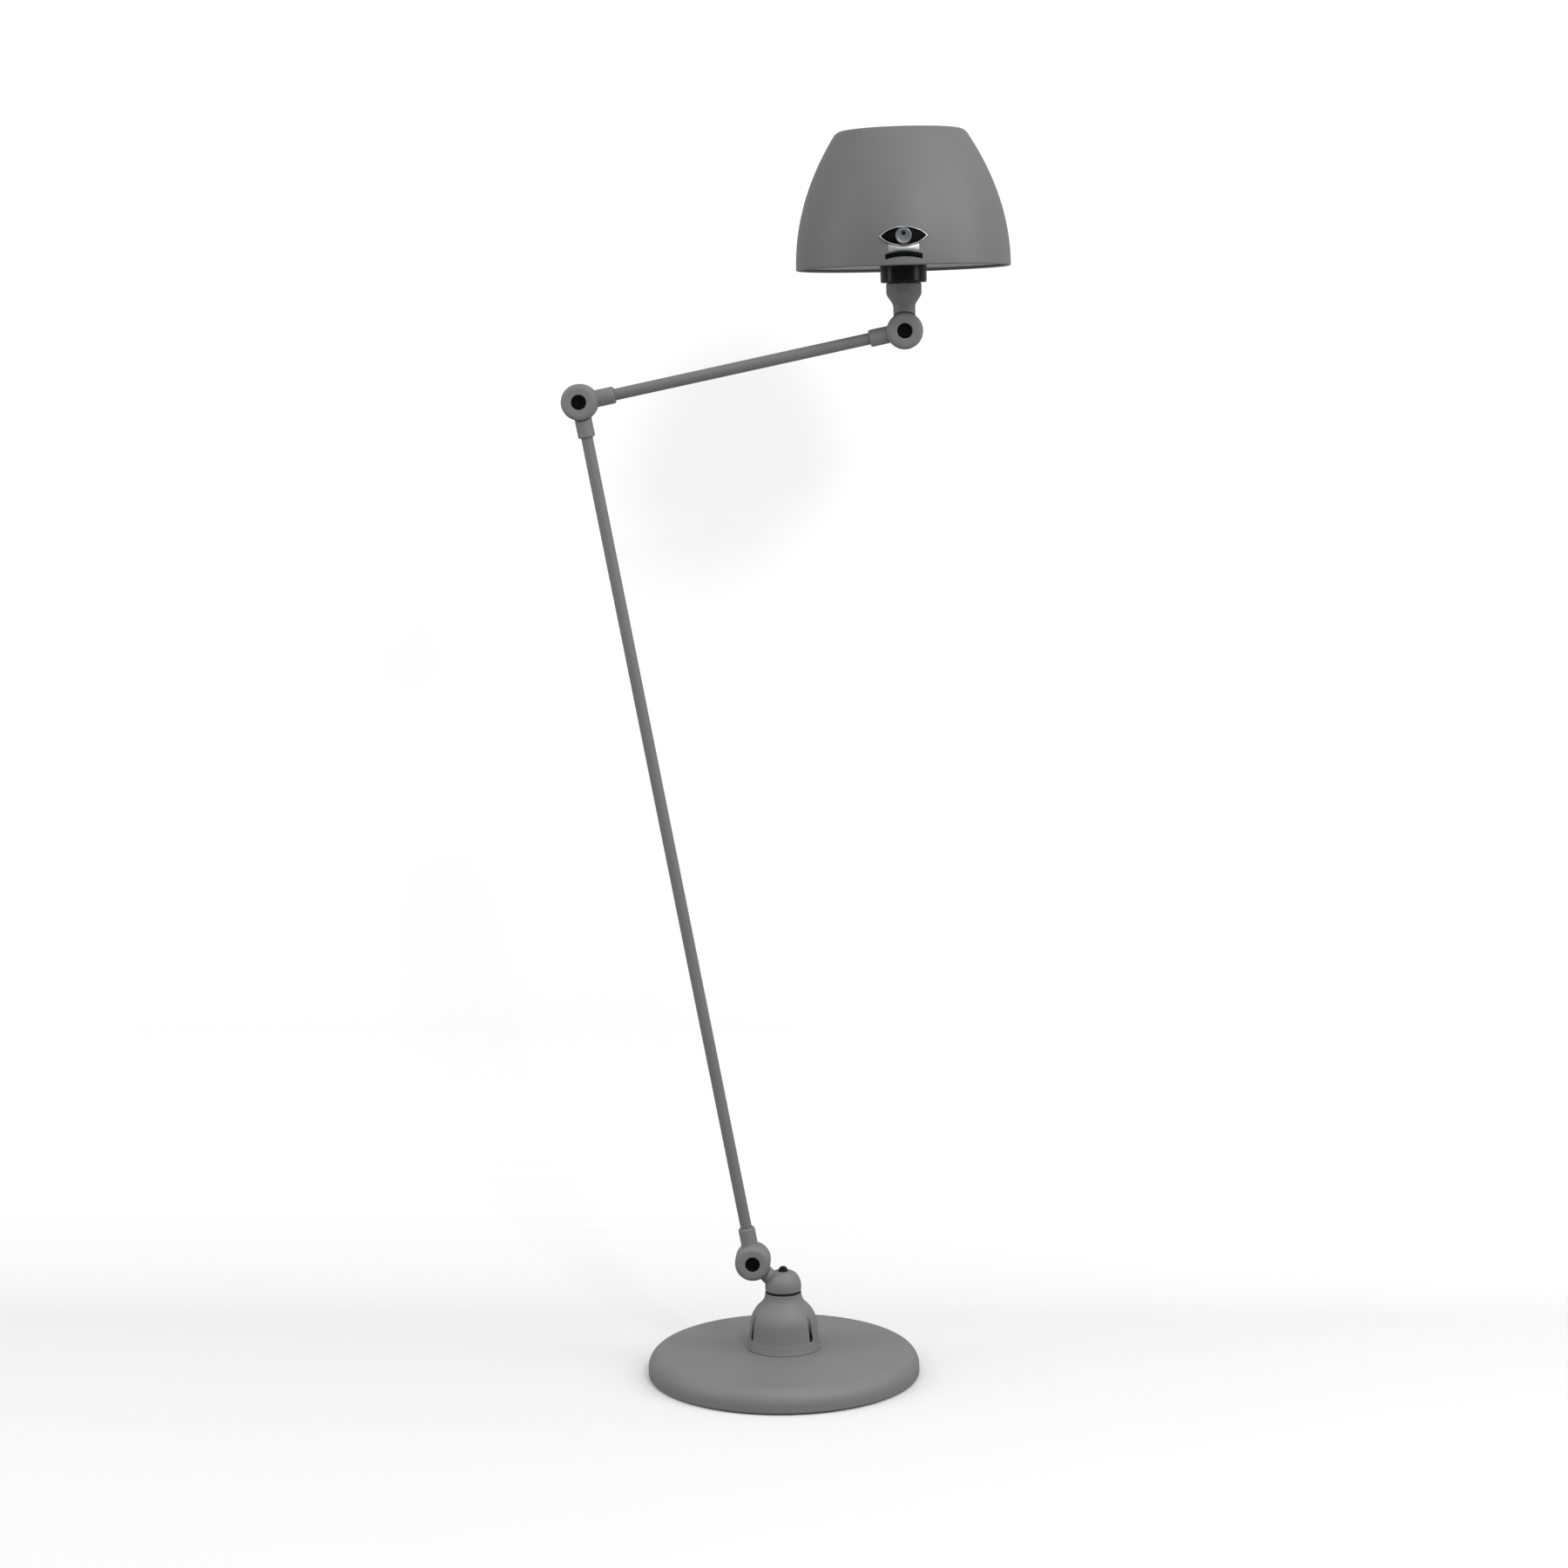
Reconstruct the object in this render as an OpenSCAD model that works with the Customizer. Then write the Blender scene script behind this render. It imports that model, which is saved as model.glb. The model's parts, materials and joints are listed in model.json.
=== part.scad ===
// Floor-standing reading lamp: round cast base, swivelling foot, two tube arms
// joined by three friction joints, and a domed shade over an upright bulb.
// Millimetres, +Z up, origin at the centre of the base's underside.
// The joints hinge about Y, and the arms move in the plane Y = 0.

/* [Arms] */
// Length of the lower arm between its joint centres
lower_len = 800; // [500:10:900]
// Lean of the lower arm from upright, towards -X
lower_lean = 10.5; // [0:0.5:40]
// Length of the upper arm between its joint centres
upper_len = 296; // [240:2:400]
// Rise of the upper arm above level
upper_rise = 11.7; // [0:0.1:40]
// Diameter of both arm tubes
tube_d = 10.5; // [9:0.1:11.5]
// Diameter of the arm sockets
socket_d = 15.4; // [14:0.2:17]
// Distance from a joint's centre to the end of its socket
socket_reach = 32; // [28:1:40]

/* [Joints] */
// Diameter of a joint's drum
drum_d = 32.6; // [31:0.2:36]
// Half of a drum's width, from its middle to one face
drum_half = 13; // [12.5:0.5:16]
// Rounding of a drum's outer edge
drum_round = 4.5; // [2:0.5:5]
// Diameter of the cap over the pivot screw
cap_d = 13; // [12.6:0.2:14]
// Height of the lowest joint above the ground
foot_joint_z = 106.3; // [104:0.1:112]
// Distance of the lowest joint from the swivel axis
foot_joint_x = 27.6; // [26:0.1:32]

/* [Base] */
// Diameter of the base plate
base_d = 250; // [220:5:300]
// Height of the plate's rounded edge
base_edge_h = 22.5; // [18:0.5:24]
// Width of the soft rounding round the plate's top
base_round = 13; // [10:0.5:25]
// Height of the plate where the bell stands on it
base_crown_h = 25.5; // [24:0.5:27]
// Thickness of the pad under the plate
pad_t = 1.6; // [1:0.2:2]

/* [Bell] */
// Radius of the bell at its foot
bell_foot_r = 33.5; // [32:0.5:36]
// Radius of the bell's neck
bell_neck_r = 16.8; // [16:0.1:18]
// Height of the top of the bell
bell_top_z = 77; // [76.5:0.1:78]
// Height of the top of the swivelling dome
dome_top_z = 97; // [96:0.1:99]

/* [Shade] */
// Radius of the shade at its rim
rim_r = 95; // [90:0.1:100]
// Height of the shade
shade_h = 121.1; // [117:0.1:125]
// Wall thickness of the shade
shade_wall = 1.2; // [0.8:0.1:2]
// Height of the rim above the head joint
rim_z = 54.7; // [53:0.1:57]
// Lean of the head, towards -X
head_lean = 1; // [-2:0.1:2]
// Height of the switch above the rim
switch_h = 24.6; // [23:0.1:27]

/* [Hidden] */
$fn = 96;
eps = 0.02;
face_gap = 0.15;
running_gap = 0.05;

// Joint centres, with the elbow and the head joint worked out from the arms
foot_at = [-foot_joint_x, 0, foot_joint_z];
elbow_at = foot_at + lower_len * [-sin(lower_lean), 0, cos(lower_lean)];
head_at = elbow_at + upper_len * [cos(upper_rise), 0, sin(upper_rise)];
lower_turn = -90 - lower_lean;
upper_turn = -upper_rise;

drum_r = drum_d / 2;
tube_r = tube_d / 2;
tube_wall = 1;
tube_depth = 14;
socket_r = socket_d / 2;
socket_chamfer = 1.2;
socket_nose = 0.8;
socket_start = 9;
lead_r = 2.2;
lead_start = drum_r + 1.2;
passage_r = 3;
drum_clear_r = drum_r + 0.5;
room_t = 8;
drum_cavity_r = 13.8;
web_z = 6.5;
web_t = 2.5;
back_floor_z = 10;
boss_r = 5;
contact_w = 1.8;
brush_r = 1.2;
CONTACT_RADII = [6.4, 10];
BRUSH_PLACES = [CONTACT_RADII[0] + contact_w / 2, -CONTACT_RADII[1] - contact_w / 2];
screw_r = 2.5;
shoulder_r = 3;
screw_head_r = 5.2;
screw_head_t = 1.4;
screw_head_z = web_z + web_t + 1.1;
shoulder_dip = 0.6;
slot_w = 1.2;
cap_r = cap_d / 2;

stud_r = 2.5;
dome_r = 16.6;
dome_round_x = 6;
dome_side_z = 83;
stud_top_z = dome_top_z + 4.2;
stud_slot_w = 0.8;
lock_nut_h = 5;
stub_end = 31;
dome_bottom_z = bell_top_z + 2.3;
dome_cavity_r = 12.4;
dome_cavity_top = 87;
bell_deck_t = 5;
bell_wall = 3;
stub_r = 7.3;
stub_turn = 44.5;
screw_circle_r = 29.5;
screw_turns = [85, 205, 325];
groove_w = 5;
groove_floor_z = 35;
groove_depth = 20;
bell_side_r = 27;
bell_side_x = 3.97;
bell_side_z = 45.8;
bell_fillet_r = 12.6;
bell_fillet_z = 76.15;
housing_screw_r = 1.5;
housing_head_r = 2.4;
housing_head_h = 3.2;
pocket_r = 46;
pocket_top_z = 11;
cord_hole_z = 10;
cord_hole_r = 4.5;
cord_mouth_r = 6.6;
cord_mouth_t = 5;
cord_r = 3.4;
stud_hole_r = 4;
base_side_z = 8;
base_chamfer = 1.5;
pad_inset = 4;

collar_r = 20.55;
collar_z = 42.3;
collar_top_z = 70;
collar_chamfer = 1.6;
holder_floor_z = 52;
holder_top_z = 95;
holder_bore_r = 13.4;
cup_r = 15.75;
neck_r = 9.8;
flare_z = 21;
flare_h = 13;
cup_floor_z = 32;
cup_wall = 3.15;
nipple_r = 5;
barrel_r = 18.8;
ring_r = 24.5;
bulb_r = 22.5;
bulb_z = 120;
bulb_neck_z = 88;
bulb_cap_z = 66;
bulb_cap_r = 13.1;
ring_t = 4;
spider_z = 80;
spider_t = 1.2;
spider_w = 10;
spider_ring_r = 27;
spider_reach = 66.2;
tab_t = 1.4;
tab_h = 12;
rivet_r = 1.6;
spider_turns = [90, 210, 330];
shoulder_h = shade_h - 5;
shoulder_drop = 36;
shade_power = 2.076;
shade_edge_r = 9;
shade_edge_turn = 33;
shade_step = 9;

bezel_w = 41.5;
bezel_h = 16;
switch_w = 36;
switch_depth = 14;
switch_t = 16;
switch_face_y = 91.6;
spindle_r = 3;
knob_r = 6.9;
knob_y = rim_r - 0.3;
saddle_w = 26.5;
saddle_drop = 11.7;
gasket_w = 32;
gasket_drop = 12.9;
gasket_r = 60;

// The sub-parts that each of the three joints has, and the joints' names
JOINT_PIECES = ["pivot_screw", "spring_washer", "cap", "contact_disc",
    "contact_rings", "brush_disc", "brushes"];
JOINT_NAMES = ["foot_joint", "elbow", "head_joint"];
JOINT_AT = [foot_at, elbow_at, head_at];

// Every sub-part that can be drawn alone, by its name

paint = [0.42, 0.42, 0.43];
black = [0.08, 0.08, 0.08];
steel = [0.72, 0.73, 0.74];
brass = [0.78, 0.62, 0.3];
resin = [0.35, 0.22, 0.12];

// Points of an elliptical arc from angle a0 to a1
function arc(cx, cz, rx, rz, a0, a1, steps = 8) =
    [for (i = [0 : steps]) let (a = a0 + (a1 - a0) * i / steps) [cx + rx * cos(a), cz + rz * sin(a)]];

// ---- Shared joint shapes. Local +Z points out of the half that is drawn. ----

module ring(r_in, r_out, z0, z1) {
    translate([0, 0, z0]) difference() {
        cylinder(r = r_out, h = z1 - z0);
        translate([0, 0, -1]) cylinder(r = r_in, h = z1 - z0 + 2);
    }
}

module rod(r, z0, z1) {
    translate([0, 0, z0]) cylinder(r = r, h = z1 - z0);
}

// Outside of one half of a drum
module drum_body() {
    rotate_extrude() polygon(concat(
        [[0, face_gap], [drum_r, face_gap]],
        arc(drum_r - drum_round, drum_half - drum_round, drum_round, drum_round, 0, 90),
        [[0, drum_half]]));
}

// Hollow of the half that carries the pivot screw, with its threaded boss left standing
module back_hollow() {
    ring(boss_r, drum_cavity_r, -1, back_floor_z);
    rod(boss_r + 1, -1, shoulder_dip);
    rod(screw_r, 0, back_floor_z - 1);
}

// Hollow of the half that turns on the pivot screw
module front_hollow() {
    rod(drum_cavity_r, -1, web_z);
    rod(shoulder_r + running_gap, web_z - 1, web_z + web_t + 1);
    rod(cap_r + 0.1, web_z + web_t, drum_half + 1);
}

// Room for the other half's drum to turn in
module other_half_room() {
    rod(drum_clear_r, -drum_half - room_t, face_gap);
}

// A socket along local +X, with the tube's bore and the lead's passage taken out
module socket_body() {
    rotate([0, 90, 0]) {
        rod(socket_r, socket_start, socket_reach - socket_chamfer);
        translate([0, 0, socket_reach - socket_chamfer])
            cylinder(r1 = socket_r, r2 = socket_r - socket_nose, h = socket_chamfer);
    }
}

module socket_hollow() {
    rotate([0, 90, 0]) {
        rod(tube_r, socket_reach - tube_depth, socket_reach + 1);
        rod(passage_r, socket_start - 1, socket_reach - tube_depth + 1);
    }
}

module back_socket_half() {
    difference() {
        union() {
            drum_body();
            socket_body();
        }
        other_half_room();
        back_hollow();
        socket_hollow();
    }
}

module front_socket_half() {
    difference() {
        union() {
            drum_body();
            socket_body();
        }
        other_half_room();
        front_hollow();
        socket_hollow();
    }
}

// Shoulder screw, drawn in the frame of the front half
module pivot_screw() {
    color(steel) difference() {
        union() {
            rod(screw_r, -back_floor_z + 2, -shoulder_dip);
            rod(shoulder_r, -shoulder_dip, screw_head_z);
            rod(screw_head_r, screw_head_z, screw_head_z + screw_head_t);
        }
        translate([-screw_head_r - 1, -slot_w / 2, screw_head_z + screw_head_t / 2])
            cube([2 * screw_head_r + 2, slot_w, screw_head_t]);
    }
}

module spring_washer() {
    color(steel) ring(shoulder_r + 0.15, screw_head_r + 0.1, web_z + web_t, web_z + web_t + 1);
}

module joint_cap() {
    color(black) {
        difference() {
            rod(cap_r, web_z + web_t, drum_half - 0.4);
            rod(screw_head_r + 0.4, web_z + web_t - 1, drum_half - 1.3);
        }
        ring(cap_r - 1, cap_r, drum_half - 0.5, drum_half + 0.2);
    }
}

// Insulating disc with two brass rings, and the disc of sprung brushes that faces it
module contact_disc(hole_r, r_out, z0, z1) {
    color(resin) ring(hole_r, r_out, z0, z1);
}

module contact_rings(z0, z1) {
    color(brass) for (r = CONTACT_RADII) ring(r, r + contact_w, z0, z1);
}

module brush_disc(hole_r, r_out, z0, z1) {
    color(resin) difference() {
        ring(hole_r, r_out, z0, z1);
        for (x = BRUSH_PLACES) translate([x, 0, 0]) rod(brush_r, z0 - 1, z1 + 1);
    }
}

module brushes(z0, z1) {
    color(brass) for (x = BRUSH_PLACES) translate([x, 0, 0]) rod(brush_r, z0, z1);
}

// Places a half's local frame: the front half faces -Y and the back half +Y
module front_at(place, turn = 0) {
    translate(place) rotate([0, turn, 0]) rotate([90, 0, 0]) children();
}

module back_at(place, turn = 0) {
    translate(place) rotate([0, turn, 0]) mirror([0, 1, 0]) rotate([90, 0, 0]) children();
}

module joint_piece(piece) {
    if (piece == "pivot_screw") pivot_screw();
    if (piece == "spring_washer") spring_washer();
    if (piece == "cap") joint_cap();
    if (piece == "contact_disc") contact_disc(boss_r + 0.2, drum_cavity_r, -4, -1.6);
    if (piece == "contact_rings") contact_rings(-1.6, -0.9);
    if (piece == "brush_disc") brush_disc(shoulder_r + 0.5, drum_cavity_r, 2, 4.4);
    if (piece == "brushes") brushes(-0.6, 5);
}

// ---- Base ----

module base_plate() {
    color(paint) difference() {
        rotate_extrude($fn = 180) polygon(concat(
            [[0, pad_t], [base_d / 2 - base_chamfer, pad_t], [base_d / 2, pad_t + base_chamfer]],
            arc(base_d / 2 - base_round, base_side_z,
                base_round, base_edge_h - base_side_z, 0, 90, 12),
            [[bell_foot_r, base_crown_h], [0, base_crown_h]]));
        rod(pocket_r, 0, pocket_top_z);
        rod(stud_hole_r, 0, base_crown_h + 1);
        translate([0, 0, cord_hole_z]) rotate([-90, 0, 0]) {
            rod(cord_hole_r, pocket_r - 2, base_d / 2 + 1);
            rod(cord_mouth_r, base_d / 2 - cord_mouth_t, base_d / 2 + 1);
        }
        for (a = screw_turns) rotate(a)
            translate([screw_circle_r, 0, 0]) rod(housing_screw_r, pocket_top_z - 1, base_crown_h + 1);
    }
}

module base_pad() {
    color(black) rod(base_d / 2 - pad_inset, 0, pad_t);
}

module cord_grommet() {
    color(black) translate([0, 0, cord_hole_z]) rotate([-90, 0, 0]) {
        ring(cord_r, cord_hole_r, pocket_r + 2, base_d / 2 - cord_mouth_t);
        ring(cord_r, cord_mouth_r - 0.2, base_d / 2 - cord_mouth_t, base_d / 2 - base_chamfer);
    }
}

// ---- Bell and its swivel ----

module bell_outline(inset) {
    side_r = bell_side_r - inset;
    fillet_r = bell_fillet_r + inset;
    polygon(concat(
        [[0, base_crown_h], [bell_foot_r - inset, base_crown_h]],
        arc(bell_side_x, bell_side_z, side_r, side_r, 7, 50),
        arc(bell_neck_r + bell_fillet_r, bell_fillet_z, fillet_r, fillet_r, 230, 180),
        [[bell_neck_r - inset, bell_top_z], [0, bell_top_z]]));
}

module bell_housing() {
    color(paint) difference() {
        rotate_extrude() bell_outline(0);
        difference() {
            translate([0, 0, -eps]) rotate_extrude() bell_outline(bell_wall);
            rod(bell_neck_r + 1, bell_top_z - bell_deck_t, bell_top_z + 1);
            for (a = screw_turns) rotate(a)
                translate([screw_circle_r - 6, -groove_w / 2 - 2, 0])
                    cube([groove_depth, groove_w + 4, bell_top_z]);
        }
        rod(stud_r, bell_top_z - bell_deck_t - 1, bell_top_z + 1);
        for (a = screw_turns) rotate(a) {
            translate([screw_circle_r, 0, 0]) rod(groove_w / 2, groove_floor_z, bell_top_z);
            translate([screw_circle_r, -groove_w / 2, groove_floor_z]) cube([groove_depth, groove_w, 60]);
            translate([screw_circle_r, 0, 0]) rod(housing_screw_r + 0.1, 0, groove_floor_z + 1);
        }
    }
}

module housing_screws() {
    color(black) for (a = screw_turns) rotate(a)
        translate([screw_circle_r, 0, 0]) difference() {
            union() {
                rod(housing_screw_r, pocket_top_z + 1, groove_floor_z);
                rod(housing_head_r, groove_floor_z, groove_floor_z + housing_head_h);
            }
            rotate(30) translate([0, 0, groove_floor_z + housing_head_h / 2])
                cylinder(r = housing_head_r - 1, h = housing_head_h, $fn = 6);
        }
}

module swivel_stud() {
    color(steel) difference() {
        rod(stud_r, bell_top_z - bell_deck_t - lock_nut_h - 4, stud_top_z);
        translate([-stud_r - 1, -stud_slot_w / 2, stud_top_z - 1]) cube([2 * stud_r + 2, stud_slot_w, 2]);
    }
}

module swivel_lock_nut() {
    color(steel) difference() {
        translate([0, 0, bell_top_z - bell_deck_t - lock_nut_h])
            cylinder(r = 4.6, h = lock_nut_h, $fn = 6);
        rod(stud_r, 0, bell_top_z);
    }
}

module swivel_washer() {
    color(black) ring(12.6, dome_r - 0.2, bell_top_z, bell_top_z + 2);
}

module swivel_top_washer() {
    color(black) ring(stud_r, 5.4, dome_top_z + 0.1, dome_top_z + 0.9);
}

module swivel_top_nut() {
    color(black) difference() {
        translate([0, 0, dome_top_z + 0.9]) cylinder(r = 4.2, h = 2, $fn = 6);
        rod(stud_r, 0, stud_top_z);
    }
}

// Dome, stub and the back half of the lowest joint, cast as one piece
module swivel_dome() {
    color(paint) difference() {
        union() {
            rotate_extrude() polygon(concat(
                [[0, dome_bottom_z], [dome_r, dome_bottom_z]],
                arc(dome_round_x, dome_side_z, dome_r - dome_round_x, dome_top_z - dome_side_z, 0, 90),
                [[0, dome_top_z]]));
            back_at(foot_at) drum_body();
            translate(foot_at) rotate([0, 90 + stub_turn, 0]) rod(stub_r, socket_start, stub_end);
        }
        front_at(foot_at) rod(drum_clear_r, -face_gap, drum_half + room_t);
        back_at(foot_at) back_hollow();
        translate(foot_at) rotate([0, 90 + stub_turn, 0]) rod(passage_r, socket_start - 1, stub_end - 1);
        rod(dome_cavity_r, dome_bottom_z - 1, dome_cavity_top);
        rod(stud_r + running_gap, dome_cavity_top - 1, dome_top_z + 1);
    }
}

// ---- Arms ----

module arm_tube(place, turn, span) {
    color(paint) translate(place) rotate([0, turn, 0]) rotate([0, 90, 0])
        ring(tube_r - tube_wall, tube_r, socket_reach - tube_depth, span - socket_reach + tube_depth);
}

module arm_lead(place, turn, span) {
    color(black) translate(place) rotate([0, turn, 0]) rotate([0, 90, 0])
        rod(lead_r, lead_start, span - lead_start);
}

module lower_arm_foot_socket() {
    color(paint) front_at(foot_at, lower_turn) front_socket_half();
}

module lower_tube() {
    arm_tube(foot_at, lower_turn, lower_len);
}

module lower_lead() {
    arm_lead(foot_at, lower_turn, lower_len);
}

module lower_arm_elbow_socket() {
    color(paint) back_at(elbow_at, lower_turn + 180) back_socket_half();
}

module upper_arm_elbow_socket() {
    color(paint) front_at(elbow_at, upper_turn) front_socket_half();
}

module upper_tube() {
    arm_tube(elbow_at, upper_turn, upper_len);
}

module upper_lead() {
    arm_lead(elbow_at, upper_turn, upper_len);
}

module upper_arm_head_socket() {
    color(paint) front_at(head_at, upper_turn + 180) front_socket_half();
}

// ---- Head. Local frame: origin at the head joint, +Z along the shade's axis. ----

module at_head() {
    translate(head_at) rotate([0, -head_lean, 0]) children();
}

function stem_r(z) = neck_r + (cup_r - neck_r) * (1 - cos(180 * (z - flare_z) / flare_h)) / 2;

module head_stem() {
    color(paint) at_head() difference() {
        union() {
            back_at([0, 0, 0]) drum_body();
            rotate_extrude() polygon(concat(
                [[0, socket_start], [neck_r, socket_start]],
                [for (z = [flare_z : flare_h / 10 : flare_z + flare_h]) [stem_r(z), z]],
                [[cup_r, collar_z - 1], [cup_r - 0.8, collar_z - 0.3], [0, collar_z - 0.3]]));
        }
        front_at([0, 0, 0]) rod(drum_clear_r, -face_gap, drum_half + room_t);
        back_at([0, 0, 0]) back_hollow();
        rod(4, 8, cup_floor_z);
        rod(cup_r - cup_wall, cup_floor_z, collar_z - 3.3);
        rod(nipple_r, collar_z - 4, collar_z + 1);
    }
}

module nipple() {
    color(brass) at_head() ring(3.6, nipple_r, collar_z - 6, collar_z + 6);
}

module nipple_nut() {
    color(brass) at_head() difference() {
        translate([0, 0, collar_z + 2.5]) cylinder(r = 8, h = 3, $fn = 6);
        rod(nipple_r, 0, 60);
    }
}

module holder_collar() {
    color(black) at_head() difference() {
        rotate_extrude() polygon([[0, collar_z], [collar_r - collar_chamfer, collar_z],
            [collar_r, collar_z + collar_chamfer], [collar_r, collar_top_z], [0, collar_top_z]]);
        rod(collar_r - 2, collar_z + 2.5, collar_top_z + 1);
        rod(nipple_r, 0, 60);
    }
}

module lampholder() {
    color(black) at_head() difference() {
        union() {
            rod(collar_r - 2, holder_floor_z, collar_top_z);
            rod(barrel_r, collar_top_z, holder_top_z);
        }
        rod(holder_bore_r, holder_floor_z + 6, holder_top_z + 1);
        for (x = [-8, 8]) translate([x, 0, 0]) rod(1.6, holder_floor_z - 1, holder_floor_z + 7);
    }
}

module shade_ring(z0) {
    difference() {
        ring(barrel_r, ring_r, z0, z0 + ring_t);
        for (a = [0 : 15 : 345]) rotate(a)
            translate([ring_r + 0.6, 0, 0]) rod(1.3, z0 - 1, z0 + ring_t + 1);
    }
}

module shade_rings() {
    color(black) at_head() {
        shade_ring(spider_z - ring_t);
        shade_ring(spider_z + spider_t);
    }
}

function shade_r(h) = rim_r - shoulder_drop * pow(max(h, 0) / shoulder_h, shade_power);

// Section of the shade's outside, moved in by inset
module shade_outline(inset) {
    corner_r = shade_edge_r - inset;
    corner_x = shade_r(shoulder_h) - shade_edge_r * cos(shade_edge_turn);
    corner_z = shoulder_h - shade_edge_r * sin(shade_edge_turn);
    polygon(concat(
        [[0, 0]],
        [for (h = [0 : shade_step : shoulder_h - shade_step / 2]) [shade_r(h) - inset, h]],
        arc(corner_x, corner_z, corner_r, corner_r, shade_edge_turn, 88, 6),
        [[0, shade_h - inset]]));
}

// The part of a layer on the shade's wall, from inset a to inset b, that a child covers
module on_wall(a, b) {
    translate([0, 0, rim_z]) intersection() {
        difference() {
            rotate_extrude($fn = 180) shade_outline(a);
            translate([0, 0, -eps]) rotate_extrude($fn = 180) shade_outline(b);
        }
        children();
    }
}

// Eye-shaped bar along Y, made where two cylinders cross
module eye_bar(w, h, y0, y1) {
    side_r = (w * w + h * h) / (4 * h);
    intersection() {
        eye_cylinder(side_r - h / 2, side_r, y0, y1);
        eye_cylinder(h / 2 - side_r, side_r, y0, y1);
    }
}

module eye_cylinder(rise, r, y0, y1) {
    translate([0, y0, switch_h + rise]) rotate([-90, 0, 0]) cylinder(r = r, h = y1 - y0);
}

module shade() {
    color(paint) at_head() difference() {
        translate([0, 0, rim_z]) union() {
            difference() {
                rotate_extrude($fn = 180) shade_outline(0);
                translate([0, 0, -eps]) rotate_extrude($fn = 180) shade_outline(shade_wall);
            }
            rotate_extrude($fn = 180) translate([rim_r - 1.7, 1.3]) circle(r = 1.3, $fn = 24);
        }
        translate([0, 0, rim_z]) eye_bar(36, 12, -rim_r - 5, -rim_r + 25);
        for (a = spider_turns) rotate(a) rivet_hole();
    }
}

module shade_spider() {
    color(steel) at_head() {
        ring(barrel_r + 0.1, spider_ring_r, spider_z, spider_z + spider_t);
        for (a = spider_turns) rotate(a) difference() {
            union() {
                translate([spider_ring_r - 2, -spider_w / 2, spider_z])
                    cube([spider_reach, spider_w, spider_t]);
                on_wall(shade_wall, shade_wall + tab_t)
                    translate([80, -spider_w / 2, spider_z - rim_z]) cube([20, spider_w, tab_h]);
            }
            rivet_hole();
        }
    }
}

module rivet_hole() {
    translate([0, 0, spider_z + tab_h / 2]) rotate([0, 90, 0]) rod(rivet_r, 80, 100);
}

module shade_rivets() {
    color(paint) at_head() for (a = spider_turns) rotate(a) {
        on_wall(0, shade_wall + tab_t + 1.2) rivet_bar(rivet_r - running_gap);
        on_wall(shade_wall + tab_t + running_gap, shade_wall + tab_t + 1.2) rivet_bar(rivet_r + 1.2);
    }
}

module rivet_bar(r) {
    translate([0, 0, spider_z + tab_h / 2 - rim_z]) rotate([0, 90, 0]) rod(r, 80, 100);
}

// ---- Bulb ----

module bulb_glass() {
    color([0.95, 0.95, 0.93, 0.6]) at_head() difference() {
        rotate_extrude() polygon(concat(
            [[0, bulb_neck_z], [13, bulb_neck_z], [13.1, holder_top_z]],
            arc(0, bulb_z, bulb_r, bulb_r, -40, 90, 14)));
        rotate_extrude() polygon(concat(
            [[0, bulb_neck_z - 1], [12, bulb_neck_z - 1], [12.1, holder_top_z]],
            arc(0, bulb_z, bulb_r - 1, bulb_r - 1, -40, 90, 14)));
    }
}

module bulb_cap() {
    color(steel) at_head() difference() {
        union() {
            rod(4.6, bulb_cap_z - 5.6, bulb_cap_z - 3);
            translate([0, 0, bulb_cap_z - 3]) cylinder(r1 = 7, r2 = bulb_cap_r, h = 3);
            rod(bulb_cap_r, bulb_cap_z, bulb_neck_z);
        }
        rod(bulb_cap_r - 0.8, bulb_cap_z, bulb_neck_z + 1);
    }
}

// ---- Switch on the front of the shade ----

module switch_body() {
    color(black) at_head() translate([0, 0, rim_z]) difference() {
        union() {
            eye_bar(34.1, 11.2, -switch_face_y, -85);
            translate([-switch_w / 2, -87, switch_h - switch_t / 2])
                cube([switch_w, switch_depth, switch_t]);
            for (x = [-10, 10]) translate([x - 1.5, switch_depth - 87, switch_h - 4]) cube([3, 5, 8]);
        }
        translate([0, 0, switch_h]) rotate([90, 0, 0]) rod(spindle_r + running_gap, 83, 93);
    }
}

module switch_bezel() {
    color(steel) at_head() on_wall(-2.2, 0) difference() {
        eye_bar(bezel_w, bezel_h, -rim_r - 6, -rim_r + 20);
        eye_bar(34.5, 11.6, -rim_r - 8, -rim_r + 22);
        translate([0, 0, switch_h]) rotate([90, 0, 0]) rod(knob_r + 0.3, 60, 110);
    }
}

module switch_knob() {
    color(steel) at_head() translate([0, 0, rim_z + switch_h]) rotate([90, 0, 0]) difference() {
        union() {
            rod(spindle_r, 84, knob_y);
            rod(knob_r, knob_y, knob_y + 3.4);
            translate([0, 0, knob_y + 3.4]) cylinder(r1 = knob_r, r2 = knob_r - 0.8, h = 0.8);
        }
        translate([0, 2.3, 0]) rod(1.5, knob_y + 3.2, knob_y + 5);
    }
}

module saddle_band() {
    color(steel) at_head() on_wall(-1.6, 0) difference() {
        translate([-saddle_w / 2, -110, switch_h - saddle_drop]) cube([saddle_w, 60, 6]);
        eye_bar(bezel_w + 0.6, bezel_h + 0.6, -rim_r - 6, -rim_r + 20);
    }
}

module saddle_gasket() {
    color(black) at_head() on_wall(-1.2, 0) intersection() {
        translate([-gasket_w / 2, -110, switch_h - 24]) cube([gasket_w, 60, 20]);
        translate([0, 0, switch_h - gasket_drop - gasket_r]) rotate([90, 0, 0])
            ring(gasket_r - 4, gasket_r, 50, 110);
    }
}

// ---- Drawing ----

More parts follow.
